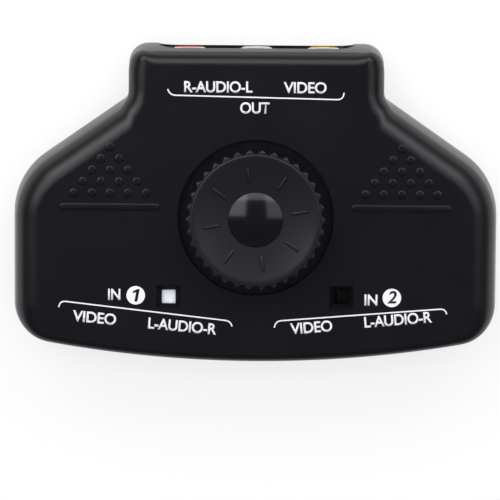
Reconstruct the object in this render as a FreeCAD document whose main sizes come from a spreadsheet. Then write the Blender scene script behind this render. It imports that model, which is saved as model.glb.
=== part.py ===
import FreeCAD, Part
import math
import os

import Sketcher

# Audio video selector switch: a moulded two-part case, three rows of phono jacks and a rotary selector.
# X points right, Y towards the output jacks at the back, Z up. Lengths are in millimetres.

SIZES = [
    # Case seen from above
    ("width", 125.0),
    ("depth", 81.5),
    ("front_arc_radius", 305.0),
    ("front_corner_radius", 10.0),
    ("shoulder_start", 6.67),
    ("shoulder_angle", 34.7),
    ("shoulder_radius", 18.5),
    ("neck_width", 65.6),
    ("neck_root_radius", 2.5),
    ("neck_root_radius_top", 8.0),
    ("back_corner_radius", 5.0),
    # Case heights and walls
    ("foot_stand", 1.0),
    ("lower_height", 13.0),
    ("upper_height", 14.0),
    ("wall", 2.2),
    ("floor_wall", 2.0),
    ("top_edge_fillet", 3.0),
    ("base_edge_fillet", 3.0),
    # How far each side leans in, from the parting line to the top and to the base
    ("upper_side_draft", 4.2),
    ("upper_shoulder_draft", 5.6),
    ("upper_neck_draft", 1.9),
    ("upper_back_draft", 2.1),
    ("upper_front_draft", 1.0),
    ("lower_side_draft", 4.5),
    ("lower_shoulder_draft", 5.5),
    ("lower_neck_draft", 2.4),
    ("lower_back_draft", 2.4),
    ("lower_front_draft", 1.5),
    # Lip of the lower shell inside the upper one
    ("lip_thickness", 1.0),
    ("lip_height", 1.2),
    ("lip_clearance", 0.15),
    # Jack rows and their pockets
    ("front_jack_pitch", 16.9),
    ("back_jack_pitch", 17.3),
    ("front_row_side_room", 7.5),
    ("front_row_angle", 5.2),
    ("front_jack_recess", 2.1),
    ("back_jack_recess", 1.9),
    ("pocket_depth", 9.0),
    ("pocket_corner_radius", 5.0),
    ("front_pocket_margin", 7.0),
    ("back_pocket_margin", 7.9),
    ("pocket_skin", 1.6),
    ("pocket_floor", 2.0),
    # One phono jack
    ("barrel_radius", 4.2),
    ("barrel_wall", 0.75),
    ("barrel_rounding", 0.6),
    ("barrel_step", 0.2),
    ("barrel_root", 3.4),
    ("barrel_gap", 0.15),
    ("insert_proud", 0.25),
    ("socket_radius", 1.75),
    ("socket_length", 10.6),
    ("housing_width", 10.2),
    ("housing_length", 9.4),
    ("housing_top", 5.2),
    ("part_gap", 0.1),
    ("contact_thickness", 0.35),
    ("contact_width", 3.0),
    ("contact_spread", 3.9),
    ("contact_length", 7.6),
    ("contact_gap", 0.15),
    ("leg_width", 1.2),
    ("leg_below_board", 1.0),
    ("tab_width", 1.6),
    ("tab_thickness", 0.5),
    ("board_hole_radius", 1.0),
    # Circuit board
    ("board_thickness", 1.6),
    ("board_below_axis", 5.0),
    ("board_boss_gap", 0.3),
    ("board_step", 4.0),
    ("board_neck_gap", 6.8),
    ("board_edge_gap", 0.4),
    ("board_pivot_hole", 2.6),
    # Knob well and hub
    ("dial_offset", 3.65),
    ("knob_well_gap", 2.1),
    ("well_depth", 3.0),
    ("well_skin", 1.8),
    ("well_side_wall", 1.8),
    ("hub_length", 3.7),
    ("hub_wall", 2.0),
    # Knob
    ("knob_radius", 17.7),
    ("knob_proud", 9.0),
    ("knob_lift", 0.4),
    ("knob_web", 2.6),
    ("knob_wall", 2.3),
    ("knob_lean", 0.35),
    ("tooth_rounding", 0.7),
    ("tooth_count", 34),
    ("tooth_depth", 0.95),
    ("tooth_groove_radius", 1.3),
    ("rim_step", 1.4),
    ("rim_height", 0.5),
    ("rim_land", 0.4),
    ("dish_depth", 1.0),
    ("tick_inner", 9.0),
    ("tick_outer", 13.3),
    ("tick_width", 0.9),
    ("tick_height", 0.25),
    ("tick_turn", 9.3),
    ("boss_wall", 2.6),
    ("cap_above_dish", 0.2),
    ("cap_radius", 6.8),
    ("cap_gap", 0.1),
    ("cap_seat", 1.8),
    ("cap_dome", 1.5),
    # Rotor
    ("spindle_radius", 4.0),
    ("spindle_gap", 0.06),
    ("spindle_flat", 3.0),
    ("spindle_flat_length", 5.2),
    ("shoulder_spindle_radius", 5.5),
    ("disc_radius", 12.0),
    ("disc_thickness", 2.4),
    ("disc_above_board", 1.6),
    ("pivot_radius", 1.5),
    ("pivot_boss_radius", 4.0),
    ("pivot_depth", 2.6),
    ("pivot_boss_gap", 0.5),
    ("rotor_neck_radius", 3.0),
    ("axial_play", 0.3),
    ("notch_radius", 1.5),
    ("notch_depth", 0.8),
    ("turn", 72.0),
    ("stop_width", 3.0),
    ("stop_reach", 9.5),
    ("stop_height", 2.6),
    ("stop_above_disc", 0.8),
    ("stop_peg_radius", 1.1),
    ("stop_peg_circle", 8.0),
    ("stop_margin", 2.0),
    # Detent spring
    ("spring_thickness", 0.4),
    ("spring_height", 3.0),
    ("spring_length", 30.0),
    ("spring_gap", 0.15),
    ("spring_post_width", 3.0),
    ("spring_post_depth", 3.4),
    ("spring_post_inset", 1.4),
    ("spring_post_below", 0.4),
    # Indicator flag and windows
    ("window_angle", 47.3),
    ("window_land", 0.6),
    ("window_outer", 6.2),
    ("window_inner", 3.5),
    ("flag_ring_height", 1.2),
    ("flag_ring_radius", 6.4),
    ("flag_thickness", 0.9),
    ("flag_front_gap", 1.457),
    ("flag_beyond_window", 2.66),
    ("flag_side_margin", 6.7),
    ("flag_above_pocket", 0.5),
    ("flag_root_run", 1.5),
    ("flag_disc_gap", 1.0),
    ("flag_below_well", 2.0),
    ("flag_well_gap", 0.9),
    ("flag_step_run", 1.8),
    ("flag_below_ceiling", 0.8),
    # Wipers and pads
    ("wiper_inner", 4.9),
    ("wiper_edge_gap", 1.1),
    ("wiper_foot", 0.4),
    ("wiper_slope", 0.9),
    ("pad_overlap", 12.0),
    ("wiper_width", 2.2),
    ("wiper_thickness", 0.3),
    ("pad_thickness", 0.1),
    ("pad_width", 1.8),
    ("wiper_clearance", 0.1),
    # Screws, bosses and feet
    ("front_screw_from_side", 9.2),
    ("front_screw_y", -11.5),
    ("back_screw_from_neck", 3.2),
    ("back_screw_y", 10.0),
    ("case_boss_radius", 3.8),
    ("case_boss_top", 10.0),
    ("case_head_radius", 2.5),
    ("case_head_height", 1.9),
    ("case_head_recess", 0.4),
    ("case_shank_radius", 1.4),
    ("case_screw_length", 15.0),
    ("screw_hole_gap", 0.15),
    ("pilot_hole_spare", 0.5),
    ("board_screw_from_edge", 7.2),
    ("board_screw_y", -7.0),
    ("neck_screw_from_edge", 4.5),
    ("neck_screw_y", 9.5),
    ("standoff_radius", 3.0),
    ("board_head_radius", 2.2),
    ("board_head_height", 1.4),
    ("board_shank_radius", 1.1),
    ("board_screw_length", 5.0),
    ("knob_screw_head_radius", 2.5),
    ("knob_screw_head_height", 1.5),
    ("knob_screw_radius", 1.3),
    ("knob_screw_length", 9.0),
    ("foot_radius", 4.0),
    ("foot_recess", 0.5),
    ("front_foot_from_side", 18.5),
    ("front_foot_from_front", 16.75),
    ("back_foot_from_neck", 11.8),
    ("back_foot_from_back", 10.75),
    # Raised marks on the top and the band under the neck
    ("bar_well_gap", 4.5),
    ("bar_side_gap", 12.8),
    ("bar_width", 1.8),
    ("bar_height", 0.4),
    ("bar_end_flat", 0.1),
    ("bar_y", -1.0),
    ("band_length", 48.0),
    ("band_width", 9.0),
    ("band_depth", 0.4),
    ("band_from_back", 20.25),
]


class Size:
    """A length, angle or count, with the sheet expression that gives it."""

    def __init__(self, value, text):
        self.value = value
        self.text = text

    def __add__(self, other):
        other = as_size(other)
        return Size(self.value + other.value, f"({self.text} + {other.text})")

    def __radd__(self, other):
        return as_size(other) + self

    def __sub__(self, other):
        other = as_size(other)
        return Size(self.value - other.value, f"({self.text} - {other.text})")

    def __rsub__(self, other):
        return as_size(other) - self

    def __mul__(self, other):
        other = as_size(other)
        return Size(self.value * other.value, f"({self.text} * {other.text})")

    def __rmul__(self, other):
        return as_size(other) * self

    def __truediv__(self, other):
        other = as_size(other)
        return Size(self.value / other.value, f"({self.text} / {other.text})")

    def __neg__(self):
        return Size(-self.value, f"(0 - {self.text})")


def as_size(number):
    if isinstance(number, Size):
        return number
    return Size(float(number), repr(float(number)))


def sine(angle):
    return Size(math.sin(math.radians(angle.value)), f"sin({angle.text})")


def cosine(angle):
    return Size(math.cos(math.radians(angle.value)), f"cos({angle.text})")


def tangent(angle):
    return Size(math.tan(math.radians(angle.value)), f"tan({angle.text})")


def arcsine(number):
    return Size(math.degrees(math.asin(number.value)), f"(asin({number.text}) / (1 deg))")


def root(number):
    return Size(math.sqrt(number.value), f"sqrt({number.text})")


document = FreeCAD.newDocument("av_selector")
sheet = document.addObject("Spreadsheet::Sheet", "Sizes")
size = {}
for row, (alias, value) in enumerate(SIZES, start=1):
    sheet.set(f"A{row}", alias)
    sheet.set(f"B{row}", str(value))
    sheet.setAlias(f"B{row}", alias)
    size[alias] = Size(value, f"Sizes.{alias}")
document.recompute()

pieces = {}


def bind(feature, path, amount):
    feature.setExpression(path, as_size(amount).text)


def place(feature, x=0, y=0, z=0, turn=0):
    """Puts a feature at x, y, z, turned about the vertical by an angle in degrees."""
    turn = as_size(turn)
    spot = FreeCAD.Vector(as_size(x).value, as_size(y).value, as_size(z).value)
    spin = FreeCAD.Rotation(FreeCAD.Vector(0, 0, 1), turn.value)
    feature.Placement = FreeCAD.Placement(spot, spin)
    bind(feature, "Placement.Base.x", x)
    bind(feature, "Placement.Base.y", y)
    bind(feature, "Placement.Base.z", z)
    if abs(turn.value) > 0:
        bind(feature, "Placement.Rotation.Angle", turn)
    return feature


def box(name, low, high):
    """A block between two corners."""
    block = document.addObject("Part::Box", name)
    for side, start, end in zip(("Length", "Width", "Height"), low, high):
        bind(block, side, as_size(end) - start)
    return place(block, low[0], low[1], low[2])


def cylinder(name, radius, bottom, top, x=0, y=0):
    """An upright cylinder."""
    drum = document.addObject("Part::Cylinder", name)
    bind(drum, "Radius", radius)
    bind(drum, "Height", as_size(top) - bottom)
    return place(drum, x, y, bottom)


def lying_cylinder(name, radius, start, end, x=0, z=0):
    """A cylinder along Y, from start to end."""
    drum = document.addObject("Part::Cylinder", name)
    drum.Placement = FreeCAD.Placement(
        FreeCAD.Vector(as_size(x).value, as_size(start).value, as_size(z).value),
        FreeCAD.Rotation(FreeCAD.Vector(1, 0, 0), -90),
    )
    bind(drum, "Radius", radius)
    bind(drum, "Height", as_size(end) - start)
    bind(drum, "Placement.Base.x", x)
    bind(drum, "Placement.Base.y", start)
    bind(drum, "Placement.Base.z", z)
    return drum


def centred_bar(name, start, end, width, bottom, top, turn):
    """A block along a line through the Z axis, at an angle."""
    block = document.addObject("Part::Box", name)
    bind(block, "Length", as_size(end) - start)
    bind(block, "Width", width)
    bind(block, "Height", as_size(top) - bottom)
    half = as_size(width) / 2
    x = as_size(start) * cosine(turn) + half * sine(turn)
    y = as_size(start) * sine(turn) - half * cosine(turn)
    return place(block, x, y, bottom, turn)


def sector(name, inner, outer, bottom, top, start, sweep):
    """A flat piece of a ring, from one angle through a sweep."""
    slab = document.addObject("Part::Cylinder", f"{name}_slab")
    bind(slab, "Radius", outer)
    bind(slab, "Height", as_size(top) - bottom)
    bind(slab, "Angle", sweep)
    place(slab, 0, 0, bottom, start)
    eye = cylinder(f"{name}_eye", inner, as_size(bottom) - 1, as_size(top) + 1)
    return cut(name, slab, eye)


def fuse(name, *parts):
    union = document.addObject("Part::MultiFuse", name)
    union.Shapes = list(parts)
    return union


def cut(name, base, *tools):
    result = document.addObject("Part::Cut", name)
    result.Base = base
    result.Tool = tools[0] if len(tools) == 1 else fuse(f"{name}_tools", *tools)
    return result


def common(name, base, tool):
    result = document.addObject("Part::Common", name)
    result.Base = base
    result.Tool = tool
    return result


def group(name, *parts):
    """Separate solids kept together in one node."""
    together = document.addObject("Part::Compound", name)
    together.Links = list(parts)
    return together


def keep(node, feature):
    """Names a finished sub-part."""
    feature.Label = node
    pieces[node] = feature
    return feature


def origin_plane(body, role):
    for feature in body.Origin.OriginFeatures:
        if feature.Role == role:
            return feature
    raise ValueError(role)


def new_sketch(body, name, role="XY_Plane", height=0):
    """A sketch on one of the body's own planes, raised along the plane's normal."""
    sketch = body.newObject("Sketcher::SketchObject", name)
    sketch.AttachmentSupport = [(origin_plane(body, role), "")]
    sketch.MapMode = "FlatFace"
    height = as_size(height)
    sketch.AttachmentOffset = FreeCAD.Placement(FreeCAD.Vector(0, 0, height.value), FreeCAD.Rotation())
    bind(sketch, "AttachmentOffset.Base.z", height)
    return sketch


def edge_between(first, last, radius):
    """An edge of an outline: a straight line, or an arc that bulges outwards."""
    chord = last - first
    along = FreeCAD.Vector(chord).normalize()
    left = FreeCAD.Vector(-along.y, along.x, 0)
    if radius is None:
        return {"start": first, "along": along, "left": left, "radius": None}
    rise = math.sqrt(radius ** 2 - (chord.Length / 2) ** 2)
    centre = (first + last) * 0.5 + left * rise
    return {"start": first, "along": along, "left": left, "radius": radius, "centre": centre}


def nearest_on(edge, point):
    if edge["radius"] is None:
        return edge["start"] + edge["along"] * (point - edge["start"]).dot(edge["along"])
    return edge["centre"] + (point - edge["centre"]).normalize() * edge["radius"]


def corner_centre(corner, before, after, radius):
    """The centre of a rounded corner, and +1 for a left turn or -1 for a right turn."""
    if before["radius"] is None and after["radius"] is None:
        cross = before["along"].cross(after["along"]).z
        side = 1 if cross > 0 else -1
        turn = math.atan2(abs(cross), before["along"].dot(after["along"]))
        reach = radius * math.tan(turn / 2)
        return corner + after["along"] * reach + after["left"] * (side * radius), side
    line, arc = (before, after) if before["radius"] is None else (after, before)
    base = line["start"] + line["left"] * radius - arc["centre"]
    half = base.dot(line["along"])
    spread = math.sqrt(half ** 2 - base.dot(base) + (arc["radius"] - radius) ** 2)
    choices = [arc["centre"] + base + line["along"] * (sign * spread - half) for sign in (-1, 1)]
    return min(choices, key=lambda choice: choice.distanceToPoint(corner)), 1


def draw_profile(sketch, corners, arcs=None):
    """Draws a closed outline through corners (x, y, radius), counterclockwise.

    A corner with a radius is rounded. An edge listed in arcs bulges outwards with that radius.
    """
    arcs = arcs or {}
    count = len(corners)
    points = [FreeCAD.Vector(as_size(x).value, as_size(y).value, 0) for x, y, _ in corners]
    edges = []
    for index in range(count):
        first = points[index]
        last = points[(index + 1) % count]
        edges.append(edge_between(first, last, as_size(arcs[index]).value if index in arcs else None))
    arrive = list(points)
    leave = list(points)
    corner_arcs = {}
    for index, (_, _, radius) in enumerate(corners):
        if radius is None:
            continue
        before = edges[index - 1]
        after = edges[index]
        centre, side = corner_centre(points[index], before, after, as_size(radius).value)
        arrive[index] = nearest_on(before, centre)
        leave[index] = nearest_on(after, centre)
        corner_arcs[index] = (centre, side)
    geometry = []
    ends = []
    for index in range(count):
        first = leave[index]
        last = arrive[(index + 1) % count]
        if index in arcs:
            geometry.append(arc_between(edges[index]["centre"], edges[index]["radius"], first, last))
        else:
            geometry.append(Part.LineSegment(first, last))
        ends.append((1, 2))
    rounds = {}
    for index, (centre, side) in corner_arcs.items():
        radius = as_size(corners[index][2]).value
        rounds[index] = len(geometry)
        if side > 0:
            geometry.append(arc_between(centre, radius, arrive[index], leave[index]))
            ends.append((1, 2))
        else:
            geometry.append(arc_between(centre, radius, leave[index], arrive[index]))
            ends.append((2, 1))
    sketch.addGeometry(geometry, False)
    marks = {}
    for index in rounds:
        marks[index] = sketch.addGeometry(Part.Point(points[index]), True)
    limits = []
    names = []

    def limit(constraint, name=None, amount=None):
        if name is not None:
            names.append((len(limits), name, amount))
        limits.append(constraint)

    for index, (x, y, radius) in enumerate(corners):
        previous = (index - 1) % count
        if radius is None:
            limit(Sketcher.Constraint("Coincident", previous, ends[previous][1], index, ends[index][0]))
            spot = (index, ends[index][0])
        else:
            arc = rounds[index]
            limit(Sketcher.Constraint("Tangent", previous, ends[previous][1], arc, ends[arc][0]))
            limit(Sketcher.Constraint("Tangent", arc, ends[arc][1], index, ends[index][0]))
            limit(Sketcher.Constraint("PointOnObject", marks[index], 1, previous))
            limit(Sketcher.Constraint("PointOnObject", marks[index], 1, index))
            amount = as_size(radius)
            limit(Sketcher.Constraint("Radius", arc, amount.value), f"round{index}", amount)
            spot = (marks[index], 1)
        for axis, amount, line in (("DistanceX", x, -2), ("DistanceY", y, -1)):
            amount = as_size(amount)
            if amount.text == "0.0":
                limit(Sketcher.Constraint("PointOnObject", spot[0], spot[1], line))
            else:
                kind = Sketcher.Constraint(axis, -1, 1, spot[0], spot[1], amount.value)
                limit(kind, f"{axis}{index}", amount)
    for index, radius in arcs.items():
        amount = as_size(radius)
        limit(Sketcher.Constraint("Radius", index, amount.value), f"bulge{index}", amount)
    sketch.addConstraint(limits)
    for index, name, amount in names:
        sketch.renameConstraint(index, name)
        sketch.setExpression(f"Constraints.{name}", amount.text)


def arc_between(centre, radius, first, last):
    """A counterclockwise arc about a centre."""
    start = math.atan2(first.y - centre.y, first.x - centre.x)
    end = math.atan2(last.y - centre.y, last.x - centre.x)
    if end <= start:
        end += 2 * math.pi
    return Part.ArcOfCircle(Part.Circle(centre, FreeCAD.Vector(0, 0, 1), radius), start, end)


def new_body(name):
    return document.addObject("PartDesign::Body", name)


def revolved(name, corners, arcs=None, role="XZ_Plane", axis="V_Axis", angle=360):
    """A body turned from one closed profile of (radius, height) corners."""
    body = new_body(name)
    sketch = new_sketch(body, f"{name}_profile", role)
    draw_profile(sketch, corners, arcs)
    turned = body.newObject("PartDesign::Revolution", f"{name}_turned")
    turned.Profile = sketch
    turned.ReferenceAxis = (sketch, [axis])
    bind(turned, "Angle", angle)
    return body


def padded(name, corners, length, role="XY_Plane", start=0, arcs=None):
    """A body raised from one closed profile along the plane's normal."""
    body = new_body(name)
    sketch = new_sketch(body, f"{name}_profile", role, start)
    draw_profile(sketch, corners, arcs)
    raised = body.newObject("PartDesign::Pad", f"{name}_raised")
    raised.Profile = sketch
    bind(raised, "Length", length)
    return body


def rounded(name, base, radius, test):
    """A copy of a feature with the edges that pass a test rounded."""
    document.recompute()
    fillet = document.addObject("Part::Fillet", name)
    fillet.Base = base
    numbers = [number for number, edge in enumerate(base.Shape.Edges, start=1) if test(edge)]
    fillet.Edges = [(number, radius.value, radius.value) for number in numbers]
    return fillet


# Levels shared by the pieces
base_level = size["foot_stand"]
parting_level = base_level + size["lower_height"]
top_level = parting_level + size["upper_height"]
ceiling_level = top_level - size["wall"]
floor_level = base_level + size["floor_wall"]
jack_level = parting_level
board_top = jack_level - size["board_below_axis"]
board_bottom = board_top - size["board_thickness"]
well_level = top_level - size["well_depth"]
well_underside = well_level - size["well_skin"]
hub_bottom = well_underside - size["hub_length"]
dial_y = -size["dial_offset"]
half_width = size["width"] / 2
half_depth = size["depth"] / 2
half_neck = size["neck_width"] / 2
well_radius = size["knob_radius"] + size["knob_well_gap"]
rim_radius = size["knob_radius"] - size["rim_step"]


# The case outline at one level, with the amount that each side stands in from the parting line
def outline_corners(side, shoulder, neck, back, front, root_radius):
    front_round = size["front_corner_radius"] - side / 3
    side_x = half_width - side
    neck_half = half_neck - neck
    back_y = half_depth - back
    slope = tangent(size["shoulder_angle"])
    setback = shoulder / cosine(size["shoulder_angle"])
    shoulder_low = size["shoulder_start"] + slope * side - setback
    shoulder_high = size["shoulder_start"] + slope * (half_width - neck_half) - setback
    arc_radius = size["front_arc_radius"] - front
    centre_y = size["front_arc_radius"] - half_depth
    corner_y = centre_y - root(arc_radius * arc_radius - side_x * side_x)
    shoulder_round = size["shoulder_radius"] - side / 2
    back_round = size["back_corner_radius"] - back / 3
    corners = [
        (-side_x, corner_y, front_round),
        (side_x, corner_y, front_round),
        (side_x, shoulder_low, shoulder_round),
        (neck_half, shoulder_high, root_radius),
        (neck_half, back_y, back_round),
        (-neck_half, back_y, back_round),
        (-neck_half, shoulder_high, root_radius),
        (-side_x, shoulder_low, shoulder_round),
    ]
    return corners, {0: arc_radius}


def level_sketch(name, level, outline):
    """A case outline drawn at a level."""
    sketch = document.addObject("Sketcher::SketchObject", name)
    place(sketch, z=level)
    corners, arcs = outline
    draw_profile(sketch, corners, arcs)
    return sketch


def leaning_solid(name, start, end, start_outline, end_outline):
    """A solid between two case outlines at two levels."""
    loft = document.addObject("Part::Loft", name)
    loft.Sections = [
        level_sketch(f"{name}_start", start, start_outline),
        level_sketch(f"{name}_end", end, end_outline),
    ]
    loft.Solid = True
    loft.Ruled = True
    return loft


def level_edge(level):
    def test(edge):
        return all(abs(vertex.Point.z - level.value) < 0.001 for vertex in edge.Vertexes)
    return test


parting_outline = outline_corners(0 * size["wall"], 0 * size["wall"], 0 * size["wall"],
                                  0 * size["wall"], 0 * size["wall"], size["neck_root_radius"])
top_outline = outline_corners(size["upper_side_draft"], size["upper_shoulder_draft"],
                              size["upper_neck_draft"], size["upper_back_draft"],
                              size["upper_front_draft"], size["neck_root_radius_top"])
base_outline = outline_corners(size["lower_side_draft"], size["lower_shoulder_draft"],
                               size["lower_neck_draft"], size["lower_back_draft"],
                               size["lower_front_draft"], size["neck_root_radius"] * 2)


def inset_outline(fraction, prefix, inset, root_radius):
    """The outline part of the way up or down, moved in by the wall."""
    sides = []
    for side in ("side", "shoulder", "neck", "back", "front"):
        if prefix is None:
            sides.append(inset + 0)
        else:
            sides.append(size[f"{prefix}_{side}_draft"] * fraction + inset)
    return outline_corners(*sides, root_radius)


inner_root = size["neck_root_radius"] + size["wall"]
inner_parting = inset_outline(0, None, size["wall"], inner_root)
ceiling_fraction = (size["upper_height"] - size["wall"]) / size["upper_height"]
inner_ceiling = inset_outline(ceiling_fraction, "upper", size["wall"], size["neck_root_radius_top"])
floor_fraction = (size["lower_height"] - size["floor_wall"]) / size["lower_height"]
inner_floor = inset_outline(floor_fraction, "lower", size["wall"], inner_root)

upper_form = leaning_solid("upper_form", parting_level, top_level, parting_outline, top_outline)
upper_solid = rounded("upper_solid", upper_form, size["top_edge_fillet"], level_edge(top_level))
lower_form = leaning_solid("lower_form", base_level, parting_level, base_outline, parting_outline)
lower_solid = rounded("lower_solid", lower_form, size["base_edge_fillet"], level_edge(base_level))
upper_cavity = leaning_solid("upper_cavity", parting_level, ceiling_level, inner_parting, inner_ceiling)
lower_cavity = leaning_solid("lower_cavity", floor_level, parting_level, inner_floor, inner_parting)

# Lip: a ring inside the wall at the parting line, on the lower shell, and its rebate in the upper shell
lip_inset = size["wall"] - size["lip_thickness"]
lip_outline = inset_outline(0, None, lip_inset, size["neck_root_radius"] + lip_inset)
rebate_inset = lip_inset - size["lip_clearance"]
rebate_outline = inset_outline(0, None, rebate_inset, size["neck_root_radius"] + rebate_inset)
hollow_inset = size["wall"] + size["lip_clearance"]
hollow_outline = inset_outline(0, None, hollow_inset, size["neck_root_radius"] + hollow_inset)
lip_top = parting_level + size["lip_height"]
rebate_top = lip_top + size["lip_clearance"]
lip_root = parting_level - size["lip_height"]
lip_block = leaning_solid("lip_block", lip_root, lip_top, lip_outline, lip_outline)
lip_hollow = leaning_solid("lip_hollow", lip_root, lip_top, inner_parting, inner_parting)
lip_ring = cut("lip_ring", lip_block, lip_hollow)
rebate_block = leaning_solid("rebate_block", parting_level, rebate_top, rebate_outline, rebate_outline)
rebate_hollow = leaning_solid("rebate_hollow", parting_level, rebate_top, hollow_outline, hollow_outline)
rebate_ring = cut("rebate_ring", rebate_block, rebate_hollow)

# The flag sweeps between the ceiling and the front pockets, up to the front wall
flag_tip_level = ceiling_level - size["flag_below_ceiling"] - size["flag_thickness"]
front_wall_inside = size["upper_front_draft"] * ceiling_fraction + size["wall"]
flag_reach = half_depth - size["dial_offset"] - front_wall_inside - size["flag_front_gap"]
flag_sweep = (size["window_angle"] - size["turn"] / 2 + size["flag_side_margin"]) * 2

# Jack rows: where each stands, which way it faces and how far apart its jacks are
arc_centre_y = size["front_arc_radius"] - half_depth
front_row_offset = (half_width - size["front_row_side_room"]) / 2
pocket_top = flag_tip_level - size["flag_above_pocket"] - size["pocket_skin"]
pocket_half_height = pocket_top - jack_level
row_arc_y = arc_centre_y - root(
    size["front_arc_radius"] * size["front_arc_radius"]
    - front_row_offset * front_row_offset
)
front_row_y = row_arc_y + size["front_jack_recess"]
back_row_y = half_depth - size["back_jack_recess"]
ROWS = {
    "in1": {
        "x": -front_row_offset,
        "y": front_row_y,
        "turn": -size["front_row_angle"],
        "pitch": size["front_jack_pitch"],
        "margin": size["front_pocket_margin"],
        "jacks": ("video", "left", "right"),
    },
    "in2": {
        "x": front_row_offset,
        "y": front_row_y,
        "turn": size["front_row_angle"],
        "pitch": size["front_jack_pitch"],
        "margin": size["front_pocket_margin"],
        "jacks": ("video", "left", "right"),
    },
    "out": {
        "x": as_size(0),
        "y": back_row_y,
        "turn": as_size(180),
        "pitch": size["back_jack_pitch"],
        "margin": size["back_pocket_margin"],
        "jacks": ("video", "left", "right"),
    },
}
pocket_reach = size["pocket_depth"] + size["pocket_floor"]
pocket_start = -size["pocket_depth"]
SIDE_STEPS = (-1, 0, 1)


def rounded_bar(name, half_length, half_height, corner, start, end):
    """A bar along Y with rounded corners, from start to end."""
    corners = [
        (-half_length, -half_height, corner),
        (half_length, -half_height, corner),
        (half_length, half_height, corner),
        (-half_length, half_height, corner),
    ]
    return padded(name, corners, as_size(end) - start, role="XZ_Plane", start=-as_size(end))


def row_tools(row_name, row):
    """The pocket's walls, its open space and the barrel holes of one row."""
    half_length = row["pitch"] + row["margin"]
    skin = size["pocket_skin"]
    corner = size["pocket_corner_radius"]
    walls = rounded_bar(f"{row_name}_pocket_walls", half_length + skin, pocket_half_height + skin,
                        corner + skin, pocket_start, pocket_reach)
    space = rounded_bar(f"{row_name}_pocket_space", half_length, pocket_half_height, corner,
                        pocket_start, size["pocket_depth"])
    holes = []
    for step in SIDE_STEPS:
        holes.append(lying_cylinder(
            f"{row_name}_barrel_hole", size["barrel_radius"] + size["barrel_gap"],
            size["pocket_depth"] - 1, pocket_reach + 1, x=row["pitch"] * step,
        ))
    holes = fuse(f"{row_name}_barrel_holes", *holes)
    for tool in (walls, space, holes):
        place(tool, row["x"], row["y"], jack_level, row["turn"])
    return walls, space, holes


pocket_walls = []
pocket_cuts = []
for row_name, row in ROWS.items():
    walls, space, holes = row_tools(row_name, row)
    pocket_walls.append(walls)
    pocket_cuts.extend((space, holes))

# Places that repeat on both sides
front_screw_x = half_width - size["front_screw_from_side"]
back_screw_x = half_neck + size["back_screw_from_neck"]
board_half = front_screw_x - size["case_boss_radius"] - size["board_boss_gap"]
board_neck_half = half_neck - size["board_neck_gap"]
board_screw_x = board_half - size["board_screw_from_edge"]
neck_screw_x = board_neck_half - size["neck_screw_from_edge"]
front_foot_x = half_width - size["front_foot_from_side"]
front_foot_y = size["front_foot_from_front"] - half_depth
back_foot_x = half_neck - size["back_foot_from_neck"]
back_foot_y = half_depth - size["back_foot_from_back"]
CASE_SCREWS = [
    (front_screw_x * side, size["front_screw_y"]) for side in (-1, 1)
] + [
    (back_screw_x * side, size["back_screw_y"]) for side in (-1, 1)
]
BOARD_SCREWS = [
    (board_screw_x * side, size["board_screw_y"]) for side in (-1, 1)
] + [
    (neck_screw_x * side, size["neck_screw_y"]) for side in (-1, 1)
]
FEET = [
    (front_foot_x * side, front_foot_y) for side in (-1, 1)
] + [
    (back_foot_x * side, back_foot_y) for side in (-1, 1)
]
case_head_level = base_level + size["case_head_recess"] + size["case_head_height"]
case_screw_top = base_level + size["case_head_recess"] + size["case_screw_length"]
case_boss_level = size["case_boss_top"]

# Levels of the selector's moving pieces
disc_bottom = board_top + size["disc_above_board"]
disc_top = disc_bottom + size["disc_thickness"]
flag_level = hub_bottom - size["axial_play"] - size["flag_ring_height"]
stop_bottom = disc_top + size["stop_above_disc"]
stop_top = stop_bottom + size["stop_height"]
knob_bottom = well_level + size["knob_lift"]
cap_top = top_level + size["knob_proud"]
cap_edge = cap_top - size["cap_dome"]
cap_seat_level = cap_edge - size["cap_seat"]
dish_low = cap_edge - size["cap_above_dish"]
dish_high = dish_low + size["dish_depth"]
rim_foot = dish_high - size["rim_height"]
web_underside = cap_seat_level - size["knob_web"]
spindle_top = web_underside - size["part_gap"]
knob_head_level = cap_seat_level - size["knob_screw_head_height"] - size["part_gap"]
knob_screw_bottom = knob_head_level - size["knob_screw_length"]

# The rotor's notches and the spring's nose share one centre, just outside the rim
nose_circle = size["disc_radius"] + size["notch_radius"] - size["notch_depth"]
nose_radius = size["notch_radius"] - size["spring_gap"]
spring_middle = disc_bottom + size["disc_thickness"] / 2
spring_bottom = spring_middle - size["spring_height"] / 2
spring_top = spring_middle + size["spring_height"] / 2
post_x = size["spring_length"] / 2 - size["spring_post_inset"]
STRAIGHT_BACK = 90
STRAIGHT_FRONT = 270
stop_rest = STRAIGHT_BACK - size["turn"] / 2
peg_turn = arcsine(
    (size["stop_width"] / 2 + size["stop_peg_radius"]) / size["stop_peg_circle"]
) + size["stop_margin"]


def around_dial(radius, angle):
    """The x and y of a point about the selector's axis."""
    return radius * cosine(angle), dial_y + radius * sine(angle)


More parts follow.
